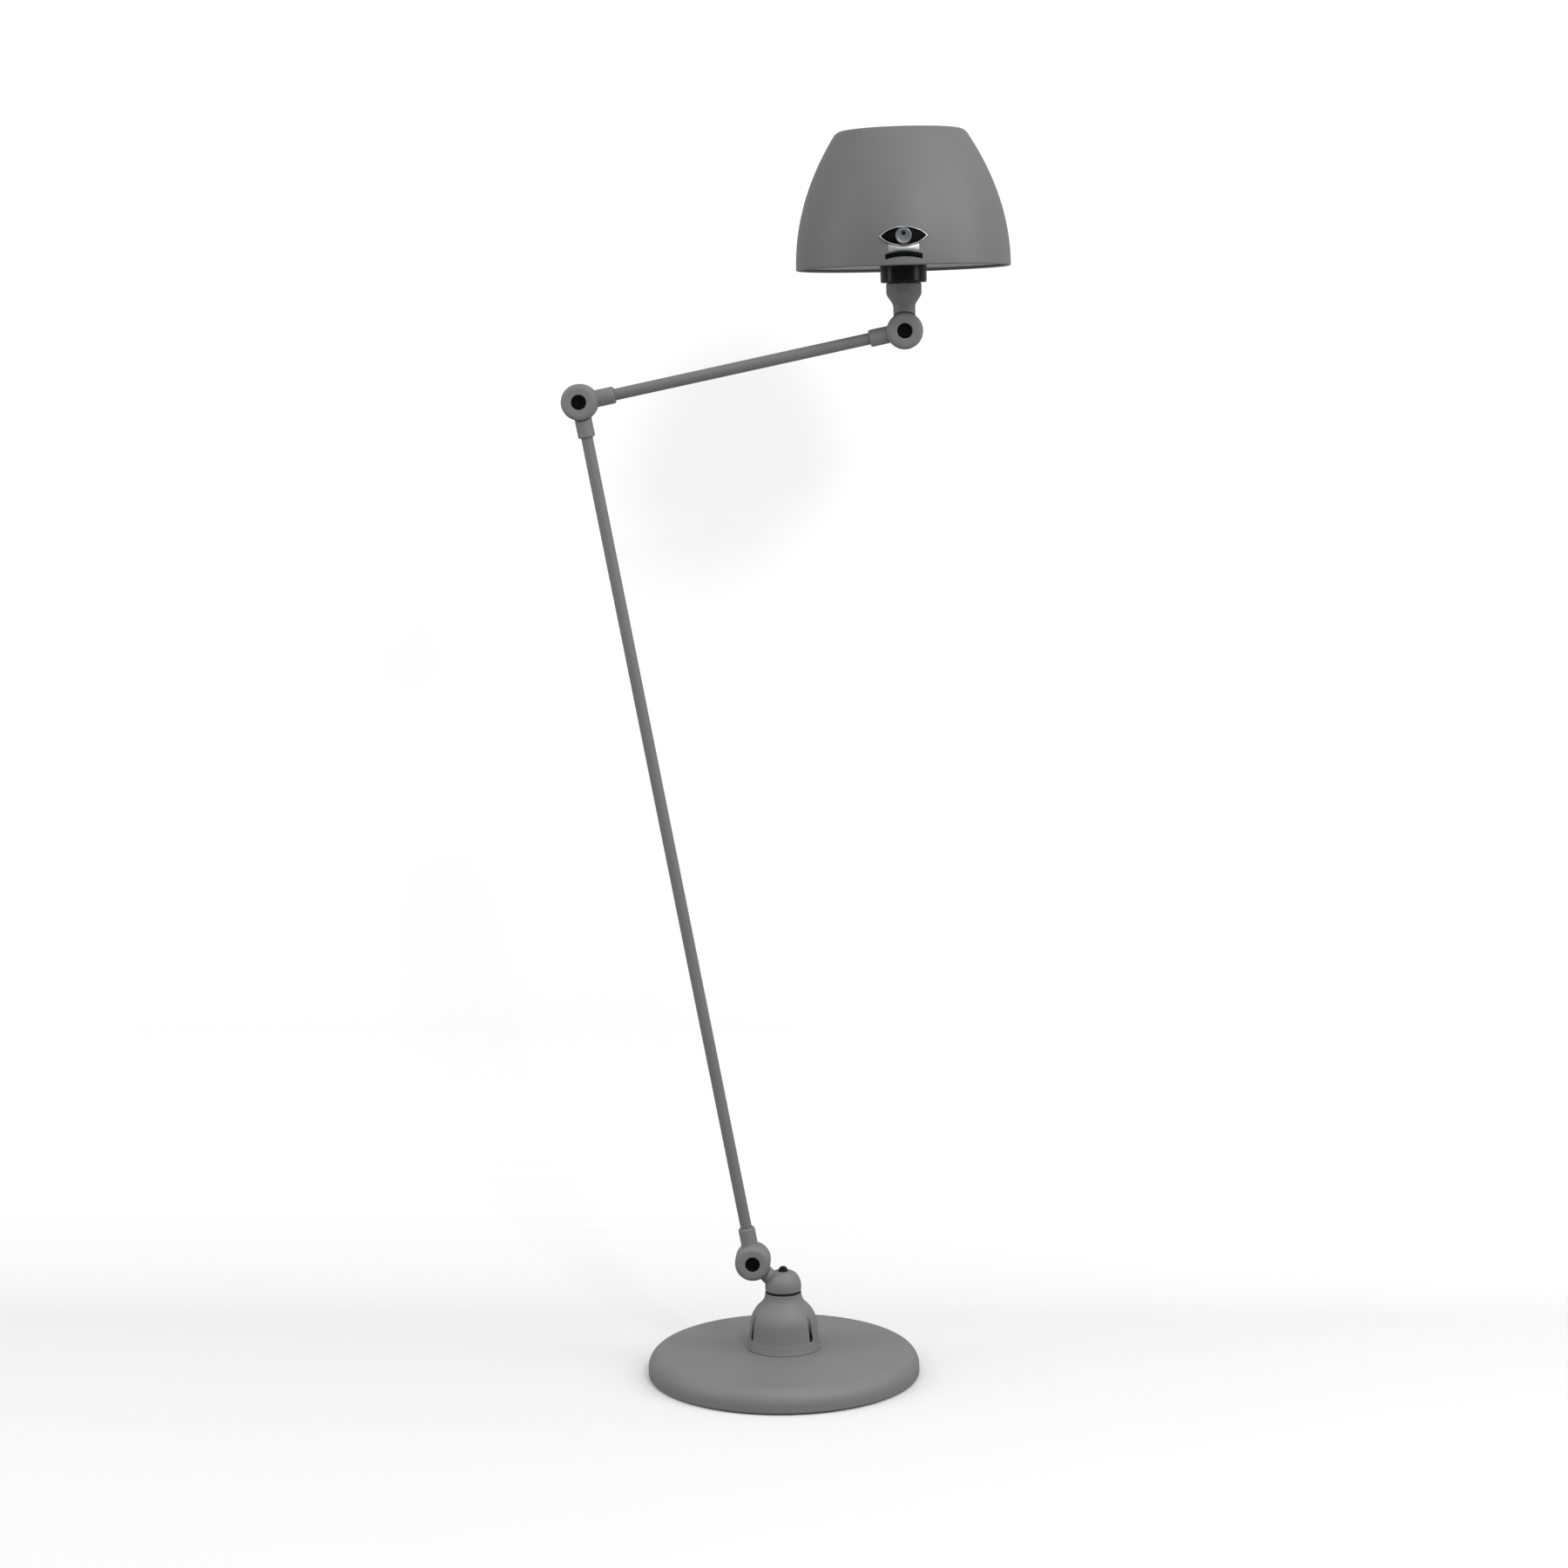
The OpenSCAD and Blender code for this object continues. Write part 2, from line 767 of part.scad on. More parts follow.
base_plate();
base_pad();
cord_grommet();
bell_housing();
housing_screws();
swivel_stud();
swivel_lock_nut();
swivel_washer();
contact_disc(stud_r + 0.1, 12.4, bell_top_z, bell_top_z + 2);  // swivel_contact_disc
contact_rings(bell_top_z + 2, bell_top_z + 2.8);  // swivel_contact_rings
swivel_top_washer();
swivel_top_nut();
swivel_dome();
brush_disc(stud_r + 0.5, dome_cavity_r, bell_top_z + 6, bell_top_z + 8.4);  // swivel_brush_disc
brushes(bell_top_z + 3.1, bell_top_z + 9);  // swivel_brushes
lower_arm_foot_socket();
lower_tube();
lower_lead();
lower_arm_elbow_socket();
upper_arm_elbow_socket();
upper_tube();
upper_lead();
upper_arm_head_socket();
head_stem();
nipple();
nipple_nut();
holder_collar();
lampholder();
shade_rings();
shade_spider();
shade_rivets();
shade();
bulb_glass();
bulb_cap();
switch_body();
switch_bezel();
switch_knob();
saddle_band();
saddle_gasket();
for (i = [0 : 2], piece = JOINT_PIECES)
    front_at(JOINT_AT[i]) joint_piece(piece);
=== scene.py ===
"""Jointed reading lamp: fine pieces, finishes and studio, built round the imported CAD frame."""
import json
import math
import bmesh
import bpy
from mathutils import Matrix, Vector


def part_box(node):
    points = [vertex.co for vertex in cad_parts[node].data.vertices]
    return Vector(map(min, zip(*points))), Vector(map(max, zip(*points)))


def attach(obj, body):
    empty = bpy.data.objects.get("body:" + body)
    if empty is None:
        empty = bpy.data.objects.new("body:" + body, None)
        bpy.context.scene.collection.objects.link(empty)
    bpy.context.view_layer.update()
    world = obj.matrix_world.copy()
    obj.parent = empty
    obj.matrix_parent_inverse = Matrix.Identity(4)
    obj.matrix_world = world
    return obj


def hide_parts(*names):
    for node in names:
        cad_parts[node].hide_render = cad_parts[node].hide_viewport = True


bl_info = {
    "name": "Jointed Reading Lamp",
    "version": (1, 0, 0),
    "blender": (4, 5, 0),
    "location": "3D View > Sidebar > Reading Lamp",
    "description": "Builds the fine pieces and finishes of a jointed reading lamp on its CAD frame",
    "category": "Add Mesh",
}

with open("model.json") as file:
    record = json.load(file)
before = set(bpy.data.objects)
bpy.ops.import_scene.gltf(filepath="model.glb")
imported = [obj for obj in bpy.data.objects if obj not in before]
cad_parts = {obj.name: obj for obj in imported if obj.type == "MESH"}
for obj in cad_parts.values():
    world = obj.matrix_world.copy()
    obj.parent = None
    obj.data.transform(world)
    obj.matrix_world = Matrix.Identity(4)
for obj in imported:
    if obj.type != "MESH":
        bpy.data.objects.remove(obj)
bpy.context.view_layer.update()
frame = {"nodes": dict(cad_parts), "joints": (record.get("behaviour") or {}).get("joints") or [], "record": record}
NODES = frame["nodes"]
JOINTS = {joint["name"]: joint for joint in frame["joints"]}

MM = 0.001
WELD = 1e-6
FOOT = Vector(JOINTS["foot_hinge"]["pos_m"])
ELBOW = Vector(JOINTS["elbow_hinge"]["pos_m"])
HEAD = Vector(JOINTS["head_hinge"]["pos_m"])
FRONT = Matrix.Rotation(math.pi / 2, 4, "X")
BACK = Matrix.Rotation(-math.pi / 2, 4, "X")


def reach(node, axis, side):
    """Where a CAD node starts (side 0) or ends (side 1) along an axis, in millimetres."""
    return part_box(node)[side][axis] / MM


# ---------------------------------------------------------------- settings

class LampSizes(bpy.types.PropertyGroup):
    """Sizes of the pieces that are modelled here, in millimetres."""
    base_radius: bpy.props.FloatProperty(
        name="Base radius", description="Radius of the cast base", default=reach("base_plate", 0, 1))
    base_edge: bpy.props.FloatProperty(
        name="Base edge", description="Height of the base's rounded edge", default=22.5)
    base_round: bpy.props.FloatProperty(
        name="Base rounding", description="Width of the soft rounding on the base", default=13.0)
    crown: bpy.props.FloatProperty(
        name="Base crown", description="Height of the base under the bell",
        default=reach("base_plate", 2, 1))
    tube_radius: bpy.props.FloatProperty(
        name="Tube radius", description="Outer radius of the arm tubes", default=5.25)
    rim_radius: bpy.props.FloatProperty(
        name="Rim radius", description="Radius of the shade at its rim", default=95.0)
    rim_height: bpy.props.FloatProperty(
        name="Rim height", description="Height of the rim over the head joint", default=54.7)
    shade_height: bpy.props.FloatProperty(
        name="Shade height", description="Height of the shade", default=121.1)
    shade_wall: bpy.props.FloatProperty(
        name="Shade wall", description="Thickness of the spun shade", default=1.2)
    head_lean: bpy.props.FloatProperty(
        name="Head lean", description="Lean of the head at rest", default=math.radians(1), subtype="ANGLE")
    switch_height: bpy.props.FloatProperty(
        name="Switch height", description="Height of the switch over the rim", default=24.6)
    voxel: bpy.props.FloatProperty(
        name="Casting grain", description="Cell size when castings are softened", default=0.42)


class LampFinish(bpy.types.PropertyGroup):
    """Colours and strengths of the finishes and lights."""
    paint: bpy.props.FloatVectorProperty(
        name="Paint", description="Colour of the grey paint", subtype="COLOR", default=(0.15, 0.15, 0.152))
    paint_pale: bpy.props.FloatVectorProperty(
        name="Pale paint", description="Colour of the paint where it is thin", subtype="COLOR",
        default=(0.172, 0.172, 0.174))
    black: bpy.props.FloatVectorProperty(
        name="Black", description="Colour of the black parts", subtype="COLOR",
        default=(0.003, 0.003, 0.0033))
    key_power: bpy.props.FloatProperty(
        name="Key light", description="Power of the main softbox", default=15.0, unit="POWER")
    side_power: bpy.props.FloatProperty(
        name="Side light", description="Power of the tall light on the right", default=14.5, unit="POWER")
    fill_power: bpy.props.FloatProperty(
        name="Fill light", description="Power of the weak light on the left", default=7.0, unit="POWER")
    sky_top: bpy.props.FloatProperty(
        name="Ceiling light", description="Strength of the white surround overhead", default=1.6)
    sky_side: bpy.props.FloatProperty(
        name="Room light", description="Strength of the surround at eye level", default=0.15)
    paper_glow: bpy.props.FloatProperty(
        name="Paper glow", description="Light that the backdrop gives by itself", default=0.2)


def sizes():
    return bpy.context.scene.lamp_sizes


def finish():
    return bpy.context.scene.lamp_finish


def head_place():
    return Matrix.Translation(HEAD) @ Matrix.Rotation(-sizes().head_lean, 4, "Y")


# ---------------------------------------------------------------- outlines and meshes

def soften(points, steps=6):
    """Rounds the corners of an outline. A corner is (x, y) or (x, y, radius)."""
    out = []
    last = len(points) - 1
    for i, point in enumerate(points):
        here = Vector(point[:2])
        radius = point[2] if len(point) > 2 else 0.0
        if radius == 0.0 or i in (0, last):
            out.append(tuple(here))
            continue
        before = Vector(points[i - 1][:2]) - here
        after = Vector(points[i + 1][:2]) - here
        half = before.angle(after) / 2
        cut = min(radius / math.tan(half), before.length * 0.49, after.length * 0.49)
        start = here + before.normalized() * cut
        end = here + after.normalized() * cut
        for k in range(steps + 1):
            t = k / steps
            out.append(tuple(start * (1 - t) ** 2 + here * 2 * t * (1 - t) + end * t ** 2))
    return out


def arc(cx, cy, rx, ry, first, last, steps=10):
    """Points of an elliptical arc between two angles in degrees."""
    angles = [math.radians(first + (last - first) * k / steps) for k in range(steps + 1)]
    return [(cx + rx * math.cos(a), cy + ry * math.sin(a)) for a in angles]


def smooth(mesh, crease=40):
    """Shades a mesh smooth, with creases at corners sharper than an angle."""
    mesh.shade_smooth()
    mesh.set_sharp_from_angle(angle=math.radians(crease))


def outwards(mesh):
    """Makes a closed mesh's faces point outwards."""
    work = bmesh.new()
    work.from_mesh(mesh)
    bmesh.ops.remove_doubles(work, verts=work.verts, dist=WELD)
    bmesh.ops.recalc_face_normals(work, faces=work.faces)
    if work.calc_volume(signed=True) < 0:
        bmesh.ops.reverse_faces(work, faces=work.faces)
    work.to_mesh(mesh)
    work.free()


def plain(source, name):
    """Turns an object with modifiers into a plain mesh object and removes the first."""
    bpy.context.view_layer.update()
    evaluated = source.evaluated_get(bpy.context.evaluated_depsgraph_get())
    mesh = bpy.data.meshes.new_from_object(evaluated)
    bpy.data.objects.remove(source)
    mesh.name = name
    return new_object(name, mesh)


def new_object(name, data):
    made = bpy.data.objects.new(name, data)
    bpy.context.scene.collection.objects.link(made)
    return made


def settle(piece, body, nodes=()):
    """Puts a finished piece under its body's empty and hides the CAD nodes it stands for."""
    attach(piece, body)
    if nodes:
        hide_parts(*nodes)


def mesh_piece(name, points, faces, place, material, crease=40):
    """A mesh from points in millimetres, put in its place in the lamp."""
    mesh = bpy.data.meshes.new(name)
    mesh.from_pydata([place @ (Vector(p) * MM) for p in points], [], faces)
    mesh.materials.append(material)
    outwards(mesh)
    smooth(mesh, crease)
    return new_object(name, mesh)


# ---------------------------------------------------------------- node trees

def set_values(node, values):
    """Sets a node's inputs by name, with underlines for the spaces."""
    for label, value in values.items():
        node.inputs[label.replace("_", " ")].default_value = value
    return node


def add(tree, kind, **values):
    return set_values(tree.nodes.new(kind), values)


def maths(tree, operation, kind="ShaderNodeMath"):
    node = tree.nodes.new(kind)
    node.operation = operation
    return node


def wire(tree, *links):
    """Joins sockets. Each link is (node, output, node, input)."""
    for source, output, target, entry in links:
        tree.links.new(source.outputs[output], target.inputs[entry])


def shared(name, build):
    """A node tree that is built the first time it is asked for."""
    return bpy.data.node_groups.get(name) or build(name)


def new_tree(name, **inputs):
    """A geometry tree with a geometry input and output, named inputs and a material."""
    tree = bpy.data.node_groups.new(name, "GeometryNodeTree")
    for label, kind in {"Geometry": "Geometry", **inputs, "Material": "Material"}.items():
        tree.interface.new_socket(label.replace("_", " "), in_out="INPUT", socket_type="NodeSocket" + kind)
    tree.interface.new_socket("Geometry", in_out="OUTPUT", socket_type="NodeSocketGeometry")
    return tree, add(tree, "NodeGroupInput"), add(tree, "NodeGroupOutput")


def finish_tree(tree, last, output, start, end):
    """Ends a tree with Realize Instances and Set Material."""
    real = add(tree, "GeometryNodeRealizeInstances")
    paint = add(tree, "GeometryNodeSetMaterial")
    wire(tree, (last, output, real, "Geometry"), (real, "Geometry", paint, "Geometry"),
         (start, "Material", paint, "Material"), (paint, "Geometry", end, "Geometry"))
    return tree


def run_tree(source, tree, values, name):
    """Runs a geometry tree on an object, its inputs set by the identifiers of their sockets."""
    modifier = source.modifiers.new("Build", "NODES")
    modifier.node_group = tree
    for item in tree.interface.items_tree:
        if item.in_out == "INPUT" and item.name in values:
            modifier[item.identifier] = values[item.name]
    return plain(source, name)


def revolve_tree(name):
    """Sweeps an outline round the Z axis."""
    tree, start, end = new_tree(name, Segments="Int", Path_Radius="Float")
    path = add(tree, "GeometryNodeCurvePrimitiveCircle")
    upright = add(tree, "GeometryNodeSetCurveNormal")
    upright.mode = "Z_UP"
    sweep = add(tree, "GeometryNodeCurveToMesh")
    weld = add(tree, "GeometryNodeMergeByDistance", Distance=WELD)
    wire(tree, (start, "Segments", path, "Resolution"), (start, "Path Radius", path, "Radius"),
         (path, "Curve", upright, "Curve"), (upright, "Curve", sweep, "Curve"),
         (start, "Geometry", sweep, "Profile Curve"), (sweep, "Mesh", weld, "Geometry"))
    return finish_tree(tree, weld, "Geometry", start, end)


def round_tree(name):
    """Copies a part round the Z axis at equal steps."""
    tree, start, end = new_tree(name, Count="Int", Radius="Float", First_Angle="Float")
    points = add(tree, "GeometryNodePoints")
    copies = add(tree, "GeometryNodeInstanceOnPoints")
    turn = add(tree, "GeometryNodeRotateInstances")
    move = add(tree, "GeometryNodeTranslateInstances", Local_Space=True)
    index = add(tree, "GeometryNodeInputIndex")
    step = maths(tree, "DIVIDE")
    step.inputs[0].default_value = 2 * math.pi
    angle = maths(tree, "MULTIPLY_ADD")
    turn_by = add(tree, "ShaderNodeCombineXYZ")
    move_by = add(tree, "ShaderNodeCombineXYZ")
    wire(tree, (start, "Count", points, "Count"), (points, "Points", copies, "Points"),
         (start, "Geometry", copies, "Instance"), (start, "Count", step, 1), (index, "Index", angle, 0),
         (step, "Value", angle, 1), (start, "First Angle", angle, 2), (angle, "Value", turn_by, "Z"),
         (copies, "Instances", turn, "Instances"), (turn_by, "Vector", turn, "Rotation"),
         (start, "Radius", move_by, "X"), (turn, "Instances", move, "Instances"),
         (move_by, "Vector", move, "Translation"))
    return finish_tree(tree, move, "Instances", start, end)


def thread_tree(name):
    """A round-crested screw thread about the Z axis."""
    tree, start, end = new_tree(name, Turns="Float", Radius="Float", Height="Float", Crest="Float")
    helix = add(tree, "GeometryNodeCurveSpiral", Resolution=48)
    section = add(tree, "GeometryNodeCurvePrimitiveCircle", Resolution=8)
    sweep = add(tree, "GeometryNodeCurveToMesh", Fill_Caps=True)
    wire(tree, (start, "Turns", helix, "Rotations"), (start, "Radius", helix, "Start Radius"),
         (start, "Radius", helix, "End Radius"), (start, "Height", helix, "Height"),
         (start, "Crest", section, "Radius"), (helix, "Curve", sweep, "Curve"),
         (section, "Curve", sweep, "Profile Curve"))
    return finish_tree(tree, sweep, "Mesh", start, end)


def revolve(name, outline, material, place=Matrix.Identity(4), closed=False, segments=128, crease=40):
    """Turns an outline of (radius, height) points, in millimetres, about the local Z axis."""
    path_radius = max(point[0] for point in outline)
    curve = bpy.data.curves.new(name, "CURVE")
    curve.dimensions = "3D"
    spline = curve.splines.new("POLY")
    spline.points.add(len(outline) - 1)
    for slot, (radius, height) in zip(spline.points, outline):
        slot.co = ((radius - path_radius) * MM, -height * MM, 0, 1)
    spline.use_cyclic_u = closed
    values = {"Segments": segments, "Path Radius": path_radius * MM, "Material": material}
    made = run_tree(new_object(name, curve), shared("Revolved outline", revolve_tree), values, name)
    outwards(made.data)
    made.data.transform(place)
    smooth(made.data, crease)
    return made


def copies_round(name, part, count, radius, first, material, place=Matrix.Identity(4)):
    """Puts copies of a part round the Z axis, then puts the ring in its place."""
    values = {"Count": count, "Radius": radius * MM, "First Angle": math.radians(first),
              "Material": material}
    made = run_tree(part, shared("Parts on a circle", round_tree), values, name)
    made.data.transform(place)
    smooth(made.data)
    return made


def thread(name, turns, radius, height, crest, material, place):
    """A screw thread with a round crest, swept as a helix."""
    source = new_object(name, bpy.data.meshes.new(name))
    values = {"Turns": turns, "Radius": radius * MM, "Height": height * MM, "Crest": crest * MM,
              "Material": material}
    made = run_tree(source, shared("Rolled thread", thread_tree), values, name)
    outwards(made.data)
    made.data.transform(place)
    smooth(made.data, 60)
    return made


def resurface(source, name, material, rounds, cell):
    """Re-skins a solid in small cells, in millimetres, and smooths it, so its edges turn soft."""
    skin = source.modifiers.new("Skin", "REMESH")
    skin.mode = "VOXEL"
    skin.voxel_size = cell * MM
    skin.use_smooth_shade = True
    even = source.modifiers.new("Even", "SMOOTH")
    even.factor = 0.5
    even.iterations = rounds
    made = plain(source, name)
    made.data.materials.clear()
    made.data.materials.append(material)
    made.data.shade_smooth()
    return made


def cast(name, node, material):
    """A soft-edged casting made from a welded copy of a CAD node."""
    mesh = NODES[node].data.copy()
    work = bmesh.new()
    work.from_mesh(mesh)
    bmesh.ops.remove_doubles(work, verts=work.verts, dist=WELD)
    work.to_mesh(mesh)
    work.free()
    return resurface(new_object(name, mesh), name, material, 6, sizes().voxel)


def mesh_box(name, xs, ys, zs, material):
    """A plain box between pairs of limits, for cutting."""
    points = [(x, y, z) for z in zs for y in ys for x in xs]
    faces = [(0, 1, 3, 2), (4, 6, 7, 5), (0, 4, 5, 1), (2, 3, 7, 6), (0, 2, 6, 4), (1, 5, 7, 3)]
    return mesh_piece(name, points, faces, Matrix.Identity(4), material)


def cut(piece, cutter):
    """Takes a cutter's shape out of a piece and removes the cutter."""
    name = piece.name
    knife = piece.modifiers.new("Cut", "BOOLEAN")
    knife.operation = "DIFFERENCE"
    knife.solver = "EXACT"
    knife.object = cutter
    made = plain(piece, name)
    bpy.data.objects.remove(cutter)
    smooth(made.data)
    return made


# ---------------------------------------------------------------- shared shader groups

def new_group(name, outputs, **inputs):
    """A shader group with a vector input, named inputs and value outputs."""
    group = bpy.data.node_groups.new(name, "ShaderNodeTree")
    group.interface.new_socket("Vector", in_out="INPUT", socket_type="NodeSocketVector")
    for label, default in inputs.items():
        kind = "NodeSocketVector" if isinstance(default, tuple) else "NodeSocketFloat"
        socket = group.interface.new_socket(label.replace("_", " "), in_out="INPUT", socket_type=kind)
        socket.default_value = default
    for label in outputs:
        group.interface.new_socket(label, in_out="OUTPUT", socket_type="NodeSocketFloat")
    return group, add(group, "NodeGroupInput"), add(group, "NodeGroupOutput")


def coat_group(name):
    """Sprayed paint: fine orange peel, slow cloudiness and settled dust."""
    group, start, end = new_group(name, ("Peel", "Cloud", "Fleck"), Peel_Scale=900.0, Cloud_Scale=9.0)
    peel = add(group, "ShaderNodeTexNoise", Detail=2.0)
    cloud = add(group, "ShaderNodeTexNoise", Detail=3.0)
    fleck = add(group, "ShaderNodeTexVoronoi", Scale=420.0)
    spot = add(group, "ShaderNodeMapRange", From_Min=0.1, From_Max=0.03)
    wire(group, *((start, "Vector", texture, "Vector") for texture in (peel, cloud, fleck)),
         (start, "Peel Scale", peel, "Scale"), (start, "Cloud Scale", cloud, "Scale"),
         (fleck, "Distance", spot, "Value"), (peel, "Fac", end, "Peel"), (cloud, "Fac", end, "Cloud"),
         (spot, "Result", end, "Fleck"))
    return group


def edge_group(name):
    """A mask that is 1 along outer edges, broken up by noise."""
    group, start, end = new_group(name, ("Rub",), Amount=0.3)
    geometry = add(group, "ShaderNodeNewGeometry")
    edge = add(group, "ShaderNodeMapRange", From_Min=0.52, From_Max=0.62)
    noise = add(group, "ShaderNodeTexNoise", Scale=160.0, Detail=3.0)
    product = maths(group, "MULTIPLY")
    scaled = maths(group, "MULTIPLY")
    wire(group, (geometry, "Pointiness", edge, "Value"), (start, "Vector", noise, "Vector"),
         (edge, "Result", product, 0), (noise, "Fac", product, 1), (product, "Value", scaled, 0),
         (start, "Amount", scaled, 1), (scaled, "Value", end, "Rub"))
    return group


def grain_group(name):
    """Fine lines or grain, stretched along one axis, for worked metal and moulded plastic."""
    group, start, end = new_group(name, ("Grain", "Smudge"), Stretch=(1.0, 1.0, 1.0), Scale=600.0)
    stretch = maths(group, "MULTIPLY", "ShaderNodeVectorMath")
    grain = add(group, "ShaderNodeTexNoise", Detail=3.0)
    smudge = add(group, "ShaderNodeTexNoise", Scale=40.0, Detail=2.0)
    wire(group, (start, "Vector", stretch, 0), (start, "Stretch", stretch, 1),
         (stretch, "Vector", grain, "Vector"), (start, "Vector", smudge, "Vector"),
         (start, "Scale", grain, "Scale"), (grain, "Fac", end, "Grain"), (smudge, "Fac", end, "Smudge"))
    return group


EFFECTS = {"Sprayed coat": coat_group, "Edge rub": edge_group, "Worked grain": grain_group}


# ---------------------------------------------------------------- materials

def new_material(name):
    """A node material, its tree, its Principled shader and its Object coordinates."""
    material = bpy.data.materials.new(name)
    material.use_nodes = True
    tree = material.node_tree
    return material, tree, tree.nodes["Principled BSDF"], add(tree, "ShaderNodeTexCoord").outputs["Object"]


def effect(tree, name, place, **values):
    """Puts a shared effect into a material and returns its outputs."""
    node = tree.nodes.new("ShaderNodeGroup")
    node.node_tree = shared(name, EFFECTS[name])
    tree.links.new(place, node.inputs["Vector"])
    return set_values(node, values).outputs


def blend_colours(tree, mask, first, second):
    """Mixes two colours, each given as a socket or as plain values."""
    mix = tree.nodes.new("ShaderNodeMix")
    mix.data_type = "RGBA"
    for socket, colour in ((mix.inputs["A"], first), (mix.inputs["B"], second)):
        if isinstance(colour, bpy.types.NodeSocket):
            tree.links.new(colour, socket)
        else:
            socket.default_value = (*colour, 1.0)
    tree.links.new(mask, mix.inputs["Factor"])
    return mix.outputs["Result"]


def spread(tree, mask, low, high):
    """Maps a mask from 0..1 to a range."""
    node = add(tree, "ShaderNodeMapRange", To_Min=low, To_Max=high)
    tree.links.new(mask, node.inputs["Value"])
    return node.outputs["Result"]


def bump(tree, shader, height, distance, strength=1.0):
    """Raises a shader's surface by a height pattern, over a distance in metres."""
    node = add(tree, "ShaderNodeBump", Strength=strength, Distance=distance)
    tree.links.new(height, node.inputs["Height"])
    tree.links.new(node.outputs["Normal"], shader.inputs["Normal"])


def toned(colour, tone):
    """A colour made lighter or darker by a factor."""
    return tuple(min(channel * tone, 1.0) for channel in colour)


def paint_material(name, tone, peel_scale, peel_depth, rough, rub):
    """Grey satin paint: cloudy colour, dust flecks, rubbed edges and orange peel."""
    material, tree, shader, place = new_material(name)
    dust, bare = (0.34, 0.34, 0.33), (0.36, 0.36, 0.36)
    coat = effect(tree, "Sprayed coat", place, Peel_Scale=peel_scale)
    edge = effect(tree, "Edge rub", place, Amount=rub)
    colour = blend_colours(tree, spread(tree, coat["Cloud"], -0.4, 1.4),
                           toned(finish().paint, tone), toned(finish().paint_pale, tone))
    colour = blend_colours(tree, spread(tree, coat["Fleck"], 0.0, 0.12), colour, dust)
    colour = blend_colours(tree, edge["Rub"], colour, bare)
    tree.links.new(colour, shader.inputs["Base Color"])
    tree.links.new(spread(tree, coat["Cloud"], rough - 0.06, rough + 0.06), shader.inputs["Roughness"])
    shader.inputs["Specular IOR Level"].default_value = 0.45
    bump(tree, shader, coat["Peel"], peel_depth, 0.5)
    return material


def grained_material(name, colour, rough, metallic, scale, depth, stretch=(1, 1, 1), change=0.15,
                     shine=0.5):
    """Metal or plastic with a fine worked or moulded grain."""
    material, tree, shader, place = new_material(name)
    grain = effect(tree, "Worked grain", place, Scale=scale, Stretch=stretch)
    tint = blend_colours(tree, grain["Grain"], toned(colour, 1 - change), toned(colour, 1 + change))
    tree.links.new(tint, shader.inputs["Base Color"])
    tree.links.new(spread(tree, grain["Smudge"], rough * 0.8, rough * 1.25), shader.inputs["Roughness"])
    shader.inputs["Metallic"].default_value = metallic
    shader.inputs["Specular IOR Level"].default_value = shine
    bump(tree, shader, grain["Grain"], depth, 0.4)
    return material


def turned_material(name, colour, rough, centre):
    """Steel with the fine rings of a turned face, round an axis along Y through centre."""
    material, tree, shader, place = new_material(name)
    mapping = add(tree, "ShaderNodeMapping", Location=(-centre[0], 0.0, -centre[2]), Scale=(1.0, 0.0, 1.0))
    distance = maths(tree, "LENGTH", "ShaderNodeVectorMath")
    rings = tree.nodes.new("ShaderNodeTexNoise")
    rings.noise_dimensions = "1D"
    rings.inputs["Scale"].default_value = 6000.0
    tree.links.new(place, mapping.inputs["Vector"])
    wire(tree, (mapping, "Vector", distance, 0), (distance, "Value", rings, "W"))
    grain = effect(tree, "Worked grain", place, Scale=300.0)
    tint = blend_colours(tree, rings.outputs["Fac"], toned(colour, 0.8), colour)
    tree.links.new(tint, shader.inputs["Base Color"])
    tree.links.new(spread(tree, grain["Smudge"], rough * 0.8, rough * 1.3), shader.inputs["Roughness"])
    shader.inputs["Metallic"].default_value = 1.0
    bump(tree, shader, rings.outputs["Fac"], 0.00005, 0.4)
    return material


def glass_material():
    """Opal glass of the bulb, with a faint unevenness in the coating."""
    material, tree, shader, place = new_material("opal_glass")
    grain = effect(tree, "Worked grain", place, Scale=900.0)
    tint = blend_colours(tree, grain["Smudge"], (0.86, 0.85, 0.82), (0.93, 0.92, 0.9))
    tree.links.new(tint, shader.inputs["Base Color"])
    tree.links.new(spread(tree, grain["Smudge"], 0.12, 0.22), shader.inputs["Roughness"])
    shader.inputs["Subsurface Weight"].default_value = 0.25
    shader.inputs["Subsurface Scale"].default_value = 0.004
    bump(tree, shader, grain["Grain"], 0.00002, 0.3)
    return material


def felt_material():
    """Pressed black felt under the base."""
    material, tree, shader, place = new_material("felt")
    grain = effect(tree, "Worked grain", place, Scale=1400.0)
    tint = blend_colours(tree, grain["Grain"], (0.008, 0.008, 0.008), (0.03, 0.03, 0.03))
    tree.links.new(tint, shader.inputs["Base Color"])
    tree.links.new(spread(tree, grain["Smudge"], 0.85, 1.0), shader.inputs["Roughness"])
    shader.inputs["Sheen Weight"].default_value = 0.4
    bump(tree, shader, grain["Grain"], 0.0004)
    return material


FINISHES = {}


